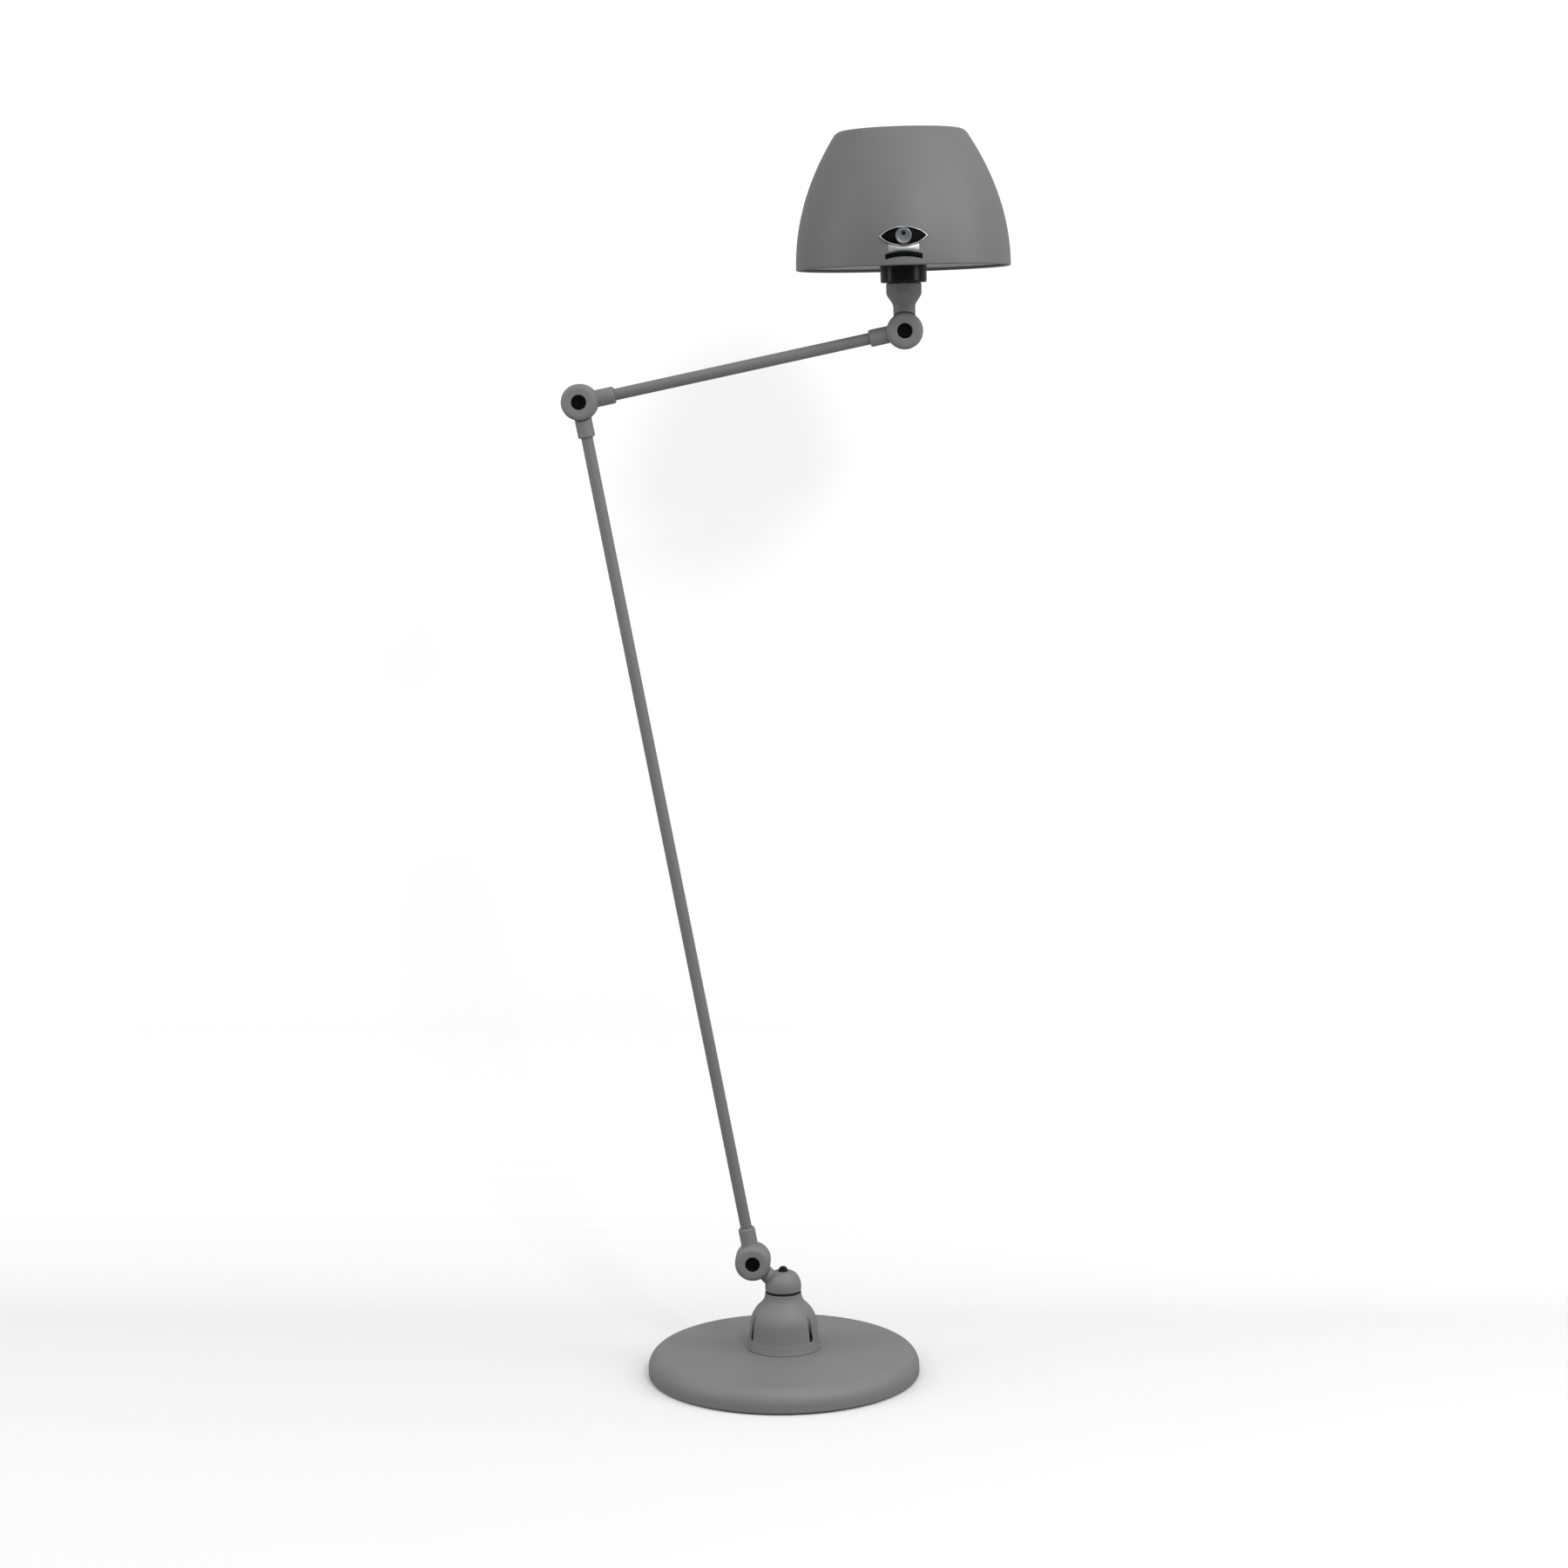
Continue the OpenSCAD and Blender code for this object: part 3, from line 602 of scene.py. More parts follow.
def make_materials():
    """Makes each finish. Grained ones give colour, roughness, metal, and the grain's scale and depth."""
    grained = grained_material
    FINISHES.update({
        # One grey paint at three tones: the castings and base lighter, the tubes and the shade darker, as painted
        # light and shade for how the light falls on each part.
        "casting": paint_material("painted_casting", 1.08, 620.0, 0.00012, 0.55, 0.35),
        "tube": paint_material("painted_tube", 0.95, 900.0, 0.00005, 0.5, 0.2),
        "shade": paint_material("painted_shade", 0.86, 900.0, 0.00005, 0.52, 0.25),
        "inside": grained("shade_inside", (0.72, 0.72, 0.71), 0.5, 0.0, 700.0, 0.00004, change=0.05),
        "moulded": grained("moulded_black", finish().black, 0.28, 0.0, 1100.0, 0.00005, shine=0.25),
        "cap": grained("cap_black", (0.002, 0.002, 0.002), 0.5, 0.0, 1300.0, 0.00003, shine=0.05),
        "blackened": grained("blackened_steel", (0.012, 0.012, 0.013), 0.4, 0.3, 900.0, 0.00004, shine=0.25),
        "steel": grained("drawn_steel", (0.56, 0.57, 0.58), 0.3, 1.0, 500.0, 0.00004, (1, 1, 0.1)),
        "chrome": grained("chrome", (0.5, 0.505, 0.51), 0.27, 1.0, 300.0, 0.000008, change=0.03),
        "satin": grained("satin_steel", (0.5, 0.5, 0.51), 0.46, 1.0, 300.0, 0.00001, change=0.04),
        "turned": turned_material("turned_steel", (0.27, 0.275, 0.28), 0.34, JOINTS["switch_turn"]["pos_m"]),
        "brass": grained("brass", (0.72, 0.5, 0.2), 0.32, 1.0, 700.0, 0.00003, (1, 1, 0.15)),
        "resin": grained("resin", (0.13, 0.06, 0.028), 0.4, 0.0, 800.0, 0.00005, change=0.3),
        "rubber": grained("rubber", (0.008, 0.008, 0.008), 0.6, 0.0, 1200.0, 0.00006, shine=0.2),
        "felt": felt_material(),
        "glass": glass_material(),
    })


SLOT_FINISHES = {
    "painted_casting": "casting", "painted_tube": "tube", "painted_shade": "shade", "rubber": "rubber",
    "black_plastic": "moulded", "black_steel": "blackened", "steel": "steel", "chrome": "chrome",
    "brass": "brass", "resin": "resin", "opal_glass": "glass",
}


def dress_nodes():
    """Gives every CAD node the finish of its slot, so none is left plain."""
    for part in frame["record"]["subparts"]:
        data = NODES[part["node"]].data
        data.materials.clear()
        data.materials.append(FINISHES[SLOT_FINISHES[part["material_slot"]]])


# ---------------------------------------------------------------- base and bell

CORD_Z = 10.0
CORD_BORES = (("cord_bore", 4.5, 90, 40.0), ("cord_mouth", 6.6, 10, 120.0))


def build_base():
    """The dished base casting, its felt and the rubber bush of the cord."""
    size = sizes()
    foot_z, edge_z, bell_r, pocket_r, pocket_top = 1.6, 8.0, 33.5, 46.0, 11.0
    slope_r, slope_z = 70, 24.1
    outline = [(0, pocket_top), (pocket_r, pocket_top, 2), (pocket_r, foot_z, 0.8),
               (size.base_radius, foot_z, 1.4)]
    outline = soften(outline + [(size.base_radius, edge_z)])
    outline += arc(size.base_radius - size.base_round, edge_z, size.base_round, size.base_edge - edge_z,
                   0, 90, 24)[1:]
    outline += [(slope_r, slope_z), (bell_r + 3, size.crown - 0.1), (0, size.crown)]
    plate = revolve("base_casting", outline, FINISHES["casting"], segments=256)
    for name, radius, depth, start_y in CORD_BORES:
        place = Matrix.Translation((0, start_y * MM, CORD_Z * MM)) @ BACK
        bore = [(0, 0), (radius, 0), (radius, depth), (0, depth)]
        plate = cut(plate, revolve(name, bore, FINISHES["casting"], place))
    settle(plate, "base", ["base_plate"])

    pad_r = reach("base_pad", 0, 1)
    pad = soften([(0, foot_z), (pad_r, foot_z, 0.5), (pad_r, 0, 0.5), (0, 0)])
    settle(revolve("base_felt", pad, FINISHES["felt"], segments=192), "base", ["base_pad"])

    sleeve = soften([(3.4, 48), (4.5, 48), (4.5, 120), (6.4, 120), (6.4, 123.2, 1.2), (4.2, 124.6, 1.0),
                     (3.4, 124.0, 0.4), (3.4, 49)])
    place = Matrix.Translation((0, 0, CORD_Z * MM)) @ BACK
    grommet = revolve("cord_bush", sleeve, FINISHES["rubber"], place, closed=True, segments=48)
    settle(grommet, "base", ["cord_grommet"])


GROOVE_FIRST = 85.0
GROOVE_FLOOR = 35.0
SCREW_CIRCLE = 29.5
SCREWS = 3
STUD_BORE = 2.6
DOME_TOP = 97.0


def bell_outline(top):
    """Outside of the bell from its top to its foot, then back up its inside."""
    side = arc(3.97, 45.8, 27, 27, 50, 7, 16)
    neck = arc(29.4, 76.15, 12.6, 12.6, 180, 230, 10)
    outside = [(16.8, top)] + neck + side
    flare = [(32.1, 35.5, 9.0), (33.4, 29.0, 6.0), (34.4, 25.4, 0.4), (32.8, 25.2)]
    outside += soften([outside[-1]] + flare)[1:]
    inside = [(30.2, 25.2), (30.2, 36), (27.5, 50), (21, 64), (14.5, 71.5), (STUD_BORE, 71.5),
              (STUD_BORE, top)]
    return outside + soften([outside[-1]] + inside)[1:]


def build_bell():
    """The bell with its screw grooves, and the washers, nut and stud on the swivel's axis."""
    top = reach("bell_housing", 2, 1)
    bell = revolve("bell", bell_outline(top), FINISHES["casting"], closed=True, segments=180)
    groove_r, groove_top = 2.1, 40
    slot = mesh_box("slot", (0, 20), (-groove_r, groove_r), (0, groove_top), FINISHES["casting"])
    well = revolve("well", [(0, 0), (3.0, 0), (3.0, 5), (groove_r, 8), (groove_r, groove_top),
                            (0, groove_top)], FINISHES["casting"], segments=32)
    for tool in (slot, well):
        lift = Matrix.Translation((0, 0, GROOVE_FLOOR * MM))
        bell = cut(bell, copies_round(tool.name + "s", tool, SCREWS, SCREW_CIRCLE, GROOVE_FIRST,
                                      FINISHES["casting"], lift))
    bell = resurface(bell, "bell_cast", FINISHES["casting"], 8, 0.45)
    settle(bell, "base", ["bell_housing"])

    seat_bore, seat_r, seat_top = 12.6, 16.2, top + 2
    washer = soften([(seat_bore, top), (seat_r, top, 0.5), (seat_r, seat_top, 0.5),
                     (seat_bore, seat_top, 0.3), (seat_bore, top + 0.1)])
    settle(revolve("swivel_seat", washer, FINISHES["rubber"], closed=True), "base",
           ["swivel_washer"])

    star_z, nut_z = DOME_TOP + 0.1, DOME_TOP + 0.9
    star = soften([(STUD_BORE, star_z), (4.9, star_z, 0.2), (4.6, nut_z, 0.3), (STUD_BORE, nut_z)])
    settle(revolve("top_washer", star, FINISHES["blackened"], closed=True, segments=64), "base",
           ["swivel_top_washer"])
    build_hex_nut("top_nut", nut_z, height=2.2, corner_r=3.9, bore_r=2.5)

    stud_top = reach("swivel_stud", 2, 1)
    stud_foot, stud_r, thread_h, thread_end = 63, 2.35, 10.0, 0.6
    stud = soften([(0, stud_foot), (stud_r, stud_foot, 0.3), (stud_r, stud_top, 0.5), (0, stud_top)])
    settle(revolve("stud", stud, FINISHES["blackened"], segments=48), "base", ["swivel_stud"])
    worm = thread("stud_thread", 10.0, stud_r + 0.03, thread_h, 0.22, FINISHES["blackened"],
                  Matrix.Translation((0, 0, (stud_top - thread_h - thread_end) * MM)))
    settle(worm, "base")


def build_hex_nut(name, bottom, height, corner_r, bore_r):
    """A hexagon nut with bevelled corners, on the swivel's axis."""
    flat = soften([(bore_r, bottom), (corner_r + 0.6, bottom), (corner_r + 0.6, bottom + height - 0.5),
                   (corner_r - 0.5, bottom + height), (bore_r, bottom + height)])
    blank = revolve(name, flat, FINISHES["blackened"], closed=True, segments=72)
    work = bmesh.new()
    work.from_mesh(blank.data)
    sixth = math.pi / 3
    flat_r = corner_r * math.cos(sixth / 2) * MM
    for vertex in work.verts:
        radius = math.hypot(vertex.co.x, vertex.co.y)
        if radius > (bore_r + 0.3) * MM:
            turn = (math.atan2(vertex.co.y, vertex.co.x) % sixth) - sixth / 2
            limit = flat_r / math.cos(turn)
            if radius > limit:
                vertex.co.x *= limit / radius
                vertex.co.y *= limit / radius
    work.to_mesh(blank.data)
    work.free()
    smooth(blank.data, 25)
    settle(blank, "base", ["swivel_top_nut"])


def build_screws():
    """Three socket screws in the bell's grooves."""
    head = soften([(0, 12), (1.5, 12), (1.5, 35), (2.4, 35, 0.2), (2.4, 38.2, 0.5), (1.2, 38.2),
                   (1.05, 36.6), (0, 36.5)])
    screw = revolve("screw", head, FINISHES["blackened"], segments=36)
    ring = copies_round("bell_screws", screw, SCREWS, SCREW_CIRCLE, GROOVE_FIRST, FINISHES["blackened"])
    settle(ring, "base", ["housing_screws"])


# ---------------------------------------------------------------- joints and arms

CASTINGS = [
    ("dome_and_stub", "swivel_dome", "swivel"),
    ("foot_half", "lower_arm_foot_socket", "lower_arm"),
    ("elbow_lower_half", "lower_arm_elbow_socket", "lower_arm"),
    ("elbow_upper_half", "upper_arm_elbow_socket", "upper_arm"),
    ("head_half", "upper_arm_head_socket", "upper_arm"),
    ("stem", "head_stem", "head"),
]

CAP_PLACES = [
    ("foot_joint", FOOT, "lower_arm"),
    ("elbow", ELBOW, "upper_arm"),
    ("head_joint", HEAD, "upper_arm"),
]


def build_castings():
    """The cast joint halves, the dome and the stem, with soft edges."""
    for name, node, body in CASTINGS:
        settle(cast(name, node, FINISHES["casting"]), body, [node])


def build_joint_caps():
    """A black cap with a raised lip in the front face of each joint."""
    outline = soften([(0, 12.5), (4.9, 12.35), (5.4, 12.5, 0.3), (5.6, 13.2, 0.25), (6.2, 13.3, 0.3),
                      (6.5, 12.8, 0.3), (6.5, 9.0), (5.6, 9.0), (5.6, 11.7), (0, 11.7)])
    for joint, centre, body in CAP_PLACES:
        place = Matrix.Translation(centre) @ FRONT
        cap = revolve(joint + "_cover", outline, FINISHES["cap"], place, segments=72)
        settle(cap, body, [joint + "_cap"])


def arm_outline(span, wall=1.0, start=18.0):
    """Section of a tube that stops short of the joint at each end of the span."""
    radius = sizes().tube_radius
    end = span - start
    return soften([(radius - wall, start), (radius, start, 0.2), (radius, end, 0.2), (radius - wall, end)])


def build_arms():
    """The two drawn tubes between the joints."""
    for name, first, last, body in (("lower_tube", FOOT, ELBOW, "lower_arm"),
                                    ("upper_tube", ELBOW, HEAD, "upper_arm")):
        along = last - first
        place = Matrix.Translation(first) @ along.to_track_quat("Z", "Y").to_matrix().to_4x4()
        tube = revolve(name + "_drawn", arm_outline(along.length / MM), FINISHES["tube"], place,
                       closed=True, segments=64)
        settle(tube, body, [name])


# ---------------------------------------------------------------- lampholder and bulb

def build_holder():
    """Collar and threaded lampholder, with the two grooved rings that hold the shade."""
    place = head_place()
    barrel_r, bush_bore, collar_r, collar_bore, foot_z, floor_z = 18.5, 13.4, 20.55, 18.55, 42.3, 44.8
    collar = soften([(5, foot_z), (collar_r, foot_z, 1.8), (collar_r, 70, 0.5), (collar_bore, 70, 0.4),
                     (collar_bore, floor_z), (5, floor_z)])
    settle(revolve("collar", collar, FINISHES["moulded"], place, closed=True), "head",
           ["holder_collar"])
    barrel = soften([(0, 52), (barrel_r, 52, 0.5), (barrel_r, 70), (barrel_r, 95, 0.8), (15.5, 95, 0.8),
                     (bush_bore, 93, 0.6), (bush_bore, 58), (0, 58)])
    settle(revolve("barrel", barrel, FINISHES["moulded"], place), "head", ["lampholder"])
    worm = thread("barrel_thread", 8.0, barrel_r, 21.0, 0.45, FINISHES["moulded"],
                  place @ Matrix.Translation((0, 0, 72.5 * MM)))
    settle(worm, "head")

    ring_r, ring_bore, ring_h, groove_r, grooves = 24.5, 19.0, 4, 1.3, 24
    groove = revolve("groove", [(0, 0), (groove_r, 0), (groove_r, ring_h + 1), (0, ring_h + 1)],
                     FINISHES["moulded"], segments=16)
    cutters = copies_round("grooves", groove, grooves, ring_r + 0.6, 0.0, FINISHES["moulded"])
    ring = soften([(ring_bore, 0), (ring_r, 0, 0.5), (ring_r, ring_h, 0.5), (ring_bore, ring_h, 0.3),
                   (ring_bore, 0.1)])
    rings = []
    for bottom in (76.0, 81.2):
        tool = new_object("tool", cutters.data.copy())
        tool.data.transform(Matrix.Translation((0, 0, -0.5 * MM)))
        made = cut(revolve("shade_ring", ring, FINISHES["moulded"], closed=True, segments=144), tool)
        made.data.transform(place @ Matrix.Translation((0, 0, bottom * MM)))
        rings.append(made)
    bpy.data.objects.remove(cutters)
    settle(rings[0], "head", ["shade_rings"])
    settle(rings[1], "head")
    rings[0].name = "shade_ring_lower"
    rings[1].name = "shade_ring_upper"


def build_bulb():
    """The hollow glass envelope and the threaded metal shell under it."""
    place = head_place()
    globe_r, globe_z, wall = 22.5, 120, 0.9
    glass = [(0, globe_z + globe_r)] + arc(0, globe_z, globe_r, globe_r, 88, -40, 28)
    glass += soften([glass[-1], (13.4, 97, 6), (13.0, 88)])[1:]
    inner = [(max(r - wall, 0), z - wall if z > globe_z else z) for r, z in reversed(glass)]
    bulb = revolve("bulb", glass + inner, FINISHES["glass"], place, segments=96)
    settle(bulb, "head", ["bulb_glass"])
    cap = soften([(0, 60.4), (4.6, 60.4, 1), (4.6, 63), (7, 63), (12.6, 66, 1), (12.6, 84), (13.1, 85),
                  (13.1, 88), (12.2, 88), (12.0, 66.5), (0, 66.5)])
    settle(revolve("bulb_shell", cap, FINISHES["steel"], place, segments=72), "head", ["bulb_cap"])
    worm = thread("bulb_thread", 5.0, 12.4, 17.0, 0.75, FINISHES["steel"],
                  place @ Matrix.Translation((0, 0, 67 * MM)))
    settle(worm, "head")


# ---------------------------------------------------------------- shade

# The wall falls away from the rim by DROP at the SHOULDER, along a power curve, in millimetres.
SHOULDER = 116.1
DROP = 36.0
CURVE = 2.076
CORNER = 9.0
CORNER_TURN = 33.0
RIVET_Z = 86.0


def wall_radius(height):
    """Outer radius of the shade at a height over its rim, in millimetres."""
    return sizes().rim_radius - DROP * (max(height, 0) / SHOULDER) ** CURVE


def shade_side(inset):
    """The shade's outline from the rim to the crown, moved in by an inset."""
    corner_x = wall_radius(SHOULDER) - CORNER * math.cos(math.radians(CORNER_TURN))
    corner_z = SHOULDER - CORNER * math.sin(math.radians(CORNER_TURN))
    side = [(wall_radius(h) - inset, h) for h in range(4, 113, 3)]
    side += arc(corner_x, corner_z, CORNER - inset, CORNER - inset, CORNER_TURN, 88, 10)
    return side + [(30, sizes().shade_height - inset - 0.35), (0, sizes().shade_height - inset)]


def build_shade():
    """The spun shade with its rolled rim and switch opening, and the heads of its rivets."""
    size = sizes()
    place = head_place() @ Matrix.Translation((0, 0, size.rim_height * MM))
    bead_r = 1.3
    bead = arc(size.rim_radius - bead_r, bead_r, bead_r, bead_r, -5, -285, 14)
    outside = shade_side(0)
    inside = shade_side(size.shade_wall)
    outline = list(reversed(outside)) + [(size.rim_radius, 2.0)] + bead + inside
    shade = revolve("spun_shade", outline, FINISHES["shade"], place, segments=256)
    hole = eye_bar("switch_hole", 36, 12, -size.rim_radius - 5, -size.rim_radius + 25)
    shade = cut(shade, hole)
    paint_inside(shade, place)
    settle(shade, "head", ["shade"])
    rivet = soften([(0, 0), (2.9, 0, 0.3), (2.6, 0.9, 0.5), (0, 1.3)])
    lift = Matrix.Translation((0, 0, RIVET_Z * MM))
    wall_slope = 7
    slope = Matrix.Rotation(math.radians(-90 - wall_slope), 4, "Y")
    button = revolve("rivet", rivet, FINISHES["steel"], slope, segments=32)
    inner_r = wall_radius(RIVET_Z - size.rim_height) - size.shade_wall - 1.4
    ring = copies_round("rivet_heads", button, 3, inner_r, 90.0, FINISHES["steel"], head_place() @ lift)
    settle(ring, "head", ["shade_rivets"])


def paint_inside(shade, place):
    """Gives the faces that look towards the bulb the pale inner coat."""
    shade.data.materials.append(FINISHES["inside"])
    bead_z, crown_z = 0.0028, 0.1
    back = place.inverted()
    turn = back.to_3x3()
    for face in shade.data.polygons:
        centre = back @ face.center
        normal = turn @ face.normal
        axis = Vector((centre.x, centre.y, 0))
        inwards = axis.length > WELD and normal.dot(axis.normalized()) < -0.2
        under = normal.z < -0.8 and centre.z > crown_z
        if (inwards or under) and centre.z > bead_z:
            face.material_index = 1


def eye_bar(name, width, height, front, back):
    """An eye-shaped bar along Y at the switch, for cutting."""
    steps = 20
    side_r = (width ** 2 + height ** 2) / (4 * height)
    drop = side_r - height / 2
    top = [(x, math.sqrt(side_r ** 2 - x ** 2) - drop)
           for x in [-width / 2 + width * k / steps for k in range(steps + 1)]]
    loop = top + [(x, -z) for x, z in reversed(top[1:-1])]
    count = len(loop)
    level = sizes().rim_height + sizes().switch_height
    points = [(x, y, level + z) for y in (front, back) for x, z in loop]
    faces = [(k, (k + 1) % count, count + (k + 1) % count, count + k) for k in range(count)]
    faces += [tuple(range(count)), tuple(range(count, 2 * count))]
    return mesh_piece(name, points, faces, head_place(), FINISHES["shade"])


# ---------------------------------------------------------------- switch

def on_wall(x, height, lift):
    """A point on the front of the shade, x across and height over the rim, in millimetres."""
    radius = wall_radius(height) + lift
    return (x, -math.sqrt(radius ** 2 - x ** 2), sizes().rim_height + height)


def wall_band(name, pairs, lift, closed, material, crown=0.6):
    """A half-round band laid on the shade's wall between pairs of edge points."""
    across = 8
    points, faces = [], []
    count = len(pairs)
    for k, (inner, outer) in enumerate(pairs):
        taper = 1.0 if closed else min(1.0, 3.0 * min(k, count - 1 - k) / count + 0.15)
        for step in range(across + 1):
            t = step / across
            x = inner[0] + (outer[0] - inner[0]) * t
            height = inner[1] + (outer[1] - inner[1]) * t
            points.append(on_wall(x, height, lift(x, height) * taper * math.sin(math.pi * t) ** crown))
        points.append(on_wall(outer[0], outer[1], -0.5))
        points.append(on_wall(inner[0], inner[1], -0.5))
    loop = across + 3
    spans = count if closed else count - 1
    for k in range(spans):
        a, b = k * loop, ((k + 1) % count) * loop
        faces += [(a + j, a + (j + 1) % loop, b + (j + 1) % loop, b + j) for j in range(loop)]
    if not closed:
        faces += [tuple(range(loop)), tuple((count - 1) * loop + j for j in range(loop))]
    return mesh_piece(name, points, faces, head_place(), material, 50)


def steps_across(half, steps=30):
    """Even steps from one side to the other."""
    return [-half + 2 * half * k / steps for k in range(steps + 1)]


def eye_edge(width, height, fullness, steps=36):
    """Points round an eye shape about the switch's centre."""
    spread_x = [-width / 2 * math.cos(math.pi * k / steps) for k in range(steps + 1)]
    top = [(x, height / 2 * (1 - abs(2 * x / width) ** fullness)) for x in spread_x]
    return top + [(x, -z) for x, z in reversed(top[1:-1])]


def build_switch():
    """The eye-shaped frame and its dark field, the saddle band, the rubber arch and the knob."""
    centre = sizes().switch_height
    knob_clear, knob_free = 7.3, 9.5

    def bezel_lift(x, height):
        away = math.hypot(x, height - centre)
        free = min(max((away - knob_clear) / (knob_free - knob_clear), 0.0), 1.0)
        return 0.5 + 1.3 * free

    outer = eye_edge(44.0, 17.0, 2.4)
    inner = eye_edge(37.6, 13.2, 3.0)
    half = len(inner) // 2
    pairs = [((x, centre - z), (x, centre + z)) for x, z in inner[1:half]]
    field = wall_band("switch_field", pairs, lambda x, h: 0.5, False, FINISHES["cap"], 0.3)
    settle(field, "head")
    pairs = [((a[0], a[1] + centre), (b[0], b[1] + centre)) for a, b in zip(inner, outer)]
    bezel = wall_band("switch_frame", pairs, bezel_lift, True, FINISHES["chrome"])
    settle(bezel, "head", ["switch_bezel"])

    saddle_half, saddle_low, saddle_high = 13.25, 12.4, 7.0
    frame_w, frame_h = 42.1, 16.6
    side_r = (frame_w ** 2 + frame_h ** 2) / (4 * frame_h)
    drop = side_r - frame_h / 2
    pairs = [((x, centre - saddle_low),
              (x, centre - max(math.sqrt(side_r ** 2 - x ** 2) - drop, saddle_high)))
             for x in steps_across(saddle_half)]
    band = wall_band("chrome_saddle", pairs, lambda x, h: 1.3, False, FINISHES["satin"], 0.4)
    settle(band, "head", ["saddle_band"])

    arch_r, arch_half, arch_reach, low = 58.0, 2.3, 16, 15.1
    middle = [(x, centre - low - (arch_r - math.sqrt(arch_r ** 2 - x ** 2)))
              for x in steps_across(arch_reach)]
    pairs = [((x, h - arch_half), (x, h + arch_half)) for x, h in middle]
    arch = wall_band("rubber_arch", pairs, lambda x, h: 1.1, False, FINISHES["cap"])
    settle(arch, "head", ["saddle_gasket"])
    build_knob()


def build_knob():
    """The turned knob and the black pip let into its face."""
    place = head_place() @ Matrix.Translation(
        (0, 0, (sizes().rim_height + sizes().switch_height) * MM)) @ FRONT
    back = sizes().rim_radius - 0.3
    face = back + 4.2
    knob_r, shaft_r, shaft_end = 6.9, 3, 84
    outline = soften([(0, shaft_end), (shaft_r, shaft_end, 0.3), (shaft_r, back), (knob_r, back, 0.3),
                      (knob_r, face, 0.7), (5.6, face, 0.3), (5.0, face - 0.3, 0.3), (0, face - 0.4)])
    knob = revolve("turn_knob", outline, FINISHES["turned"], place, segments=96, crease=60)
    pip_up, hole_r, pip_r = 2.3, 1.9, 1.85
    pip_place = place @ Matrix.Translation((0, pip_up * MM, 0))
    hole = revolve("pip_hole", [(0, face - 1), (hole_r, face - 1), (hole_r, face + 1), (0, face + 1)],
                   FINISHES["turned"], pip_place, segments=32)
    knob = cut(knob, hole)
    settle(knob, "switch_knob", ["switch_knob"])
    pip = soften([(0, face - 1), (pip_r, face - 1), (pip_r, face - 0.5, 0.15), (0, face - 0.55)])
    settle(revolve("knob_pip", pip, FINISHES["moulded"], pip_place, segments=32), "switch_knob")


# ---------------------------------------------------------------- stage

# Place in metres, turns in degrees and lens in millimetres.
CAMERA_AT = Vector((0.0948, -2.8864, 0.9157))
CAMERA_YAW = 1.775
CAMERA_PITCH = 7.24
CAMERA_ROLL = 0.573
CAMERA_LENS = 74.0


def build_camera():
    """The camera at the place, turn and lens that frame the lamp from in front."""
    data = bpy.data.cameras.new("camera")
    data.lens = CAMERA_LENS
    data.sensor_width = 36.0
    camera = new_object("camera", data)
    turn = Matrix.Rotation(math.radians(CAMERA_YAW), 4, "Z")
    tilt = Matrix.Rotation(math.radians(90 - CAMERA_PITCH), 4, "X")
    roll = Matrix.Rotation(math.radians(-CAMERA_ROLL), 4, "Z")
    camera.matrix_world = Matrix.Translation(CAMERA_AT) @ turn @ tilt @ roll
    bpy.context.scene.camera = camera


def add_light(name, at, target, size, power):
    """A rectangular light at one point, aimed at another."""
    data = bpy.data.lights.new(name, "AREA")
    data.shape = "RECTANGLE"
    data.size, data.size_y = size
    data.energy = power
    light = new_object(name, data)
    light.matrix_world = Matrix.Translation(at) @ (
        Vector(target) - Vector(at)).to_track_quat("-Z", "Y").to_matrix().to_4x4()


def build_backdrop():
    """A pale sheet: flat floor, a wide bend and an upright wall that can be seen through from behind."""
    front, wall_y, bend_r, top, half = -6.0, 0.42, 0.24, 4.0, 6.0
    profile = [(front, 0.0), (wall_y - bend_r, 0.0)]
    profile += arc(wall_y - bend_r, bend_r, bend_r, bend_r, -90, 0, 24)[1:]
    profile.append((wall_y, top))
    points = [(x, y, z) for x in (-half, half) for y, z in profile]
    count = len(profile)
    faces = [(k, count + k, count + k + 1, k + 1) for k in range(count - 1)]
    mesh = bpy.data.meshes.new("backdrop")
    mesh.from_pydata(points, [], faces)
    mesh.materials.append(paper_material())
    mesh.shade_smooth()
    new_object("backdrop", mesh)


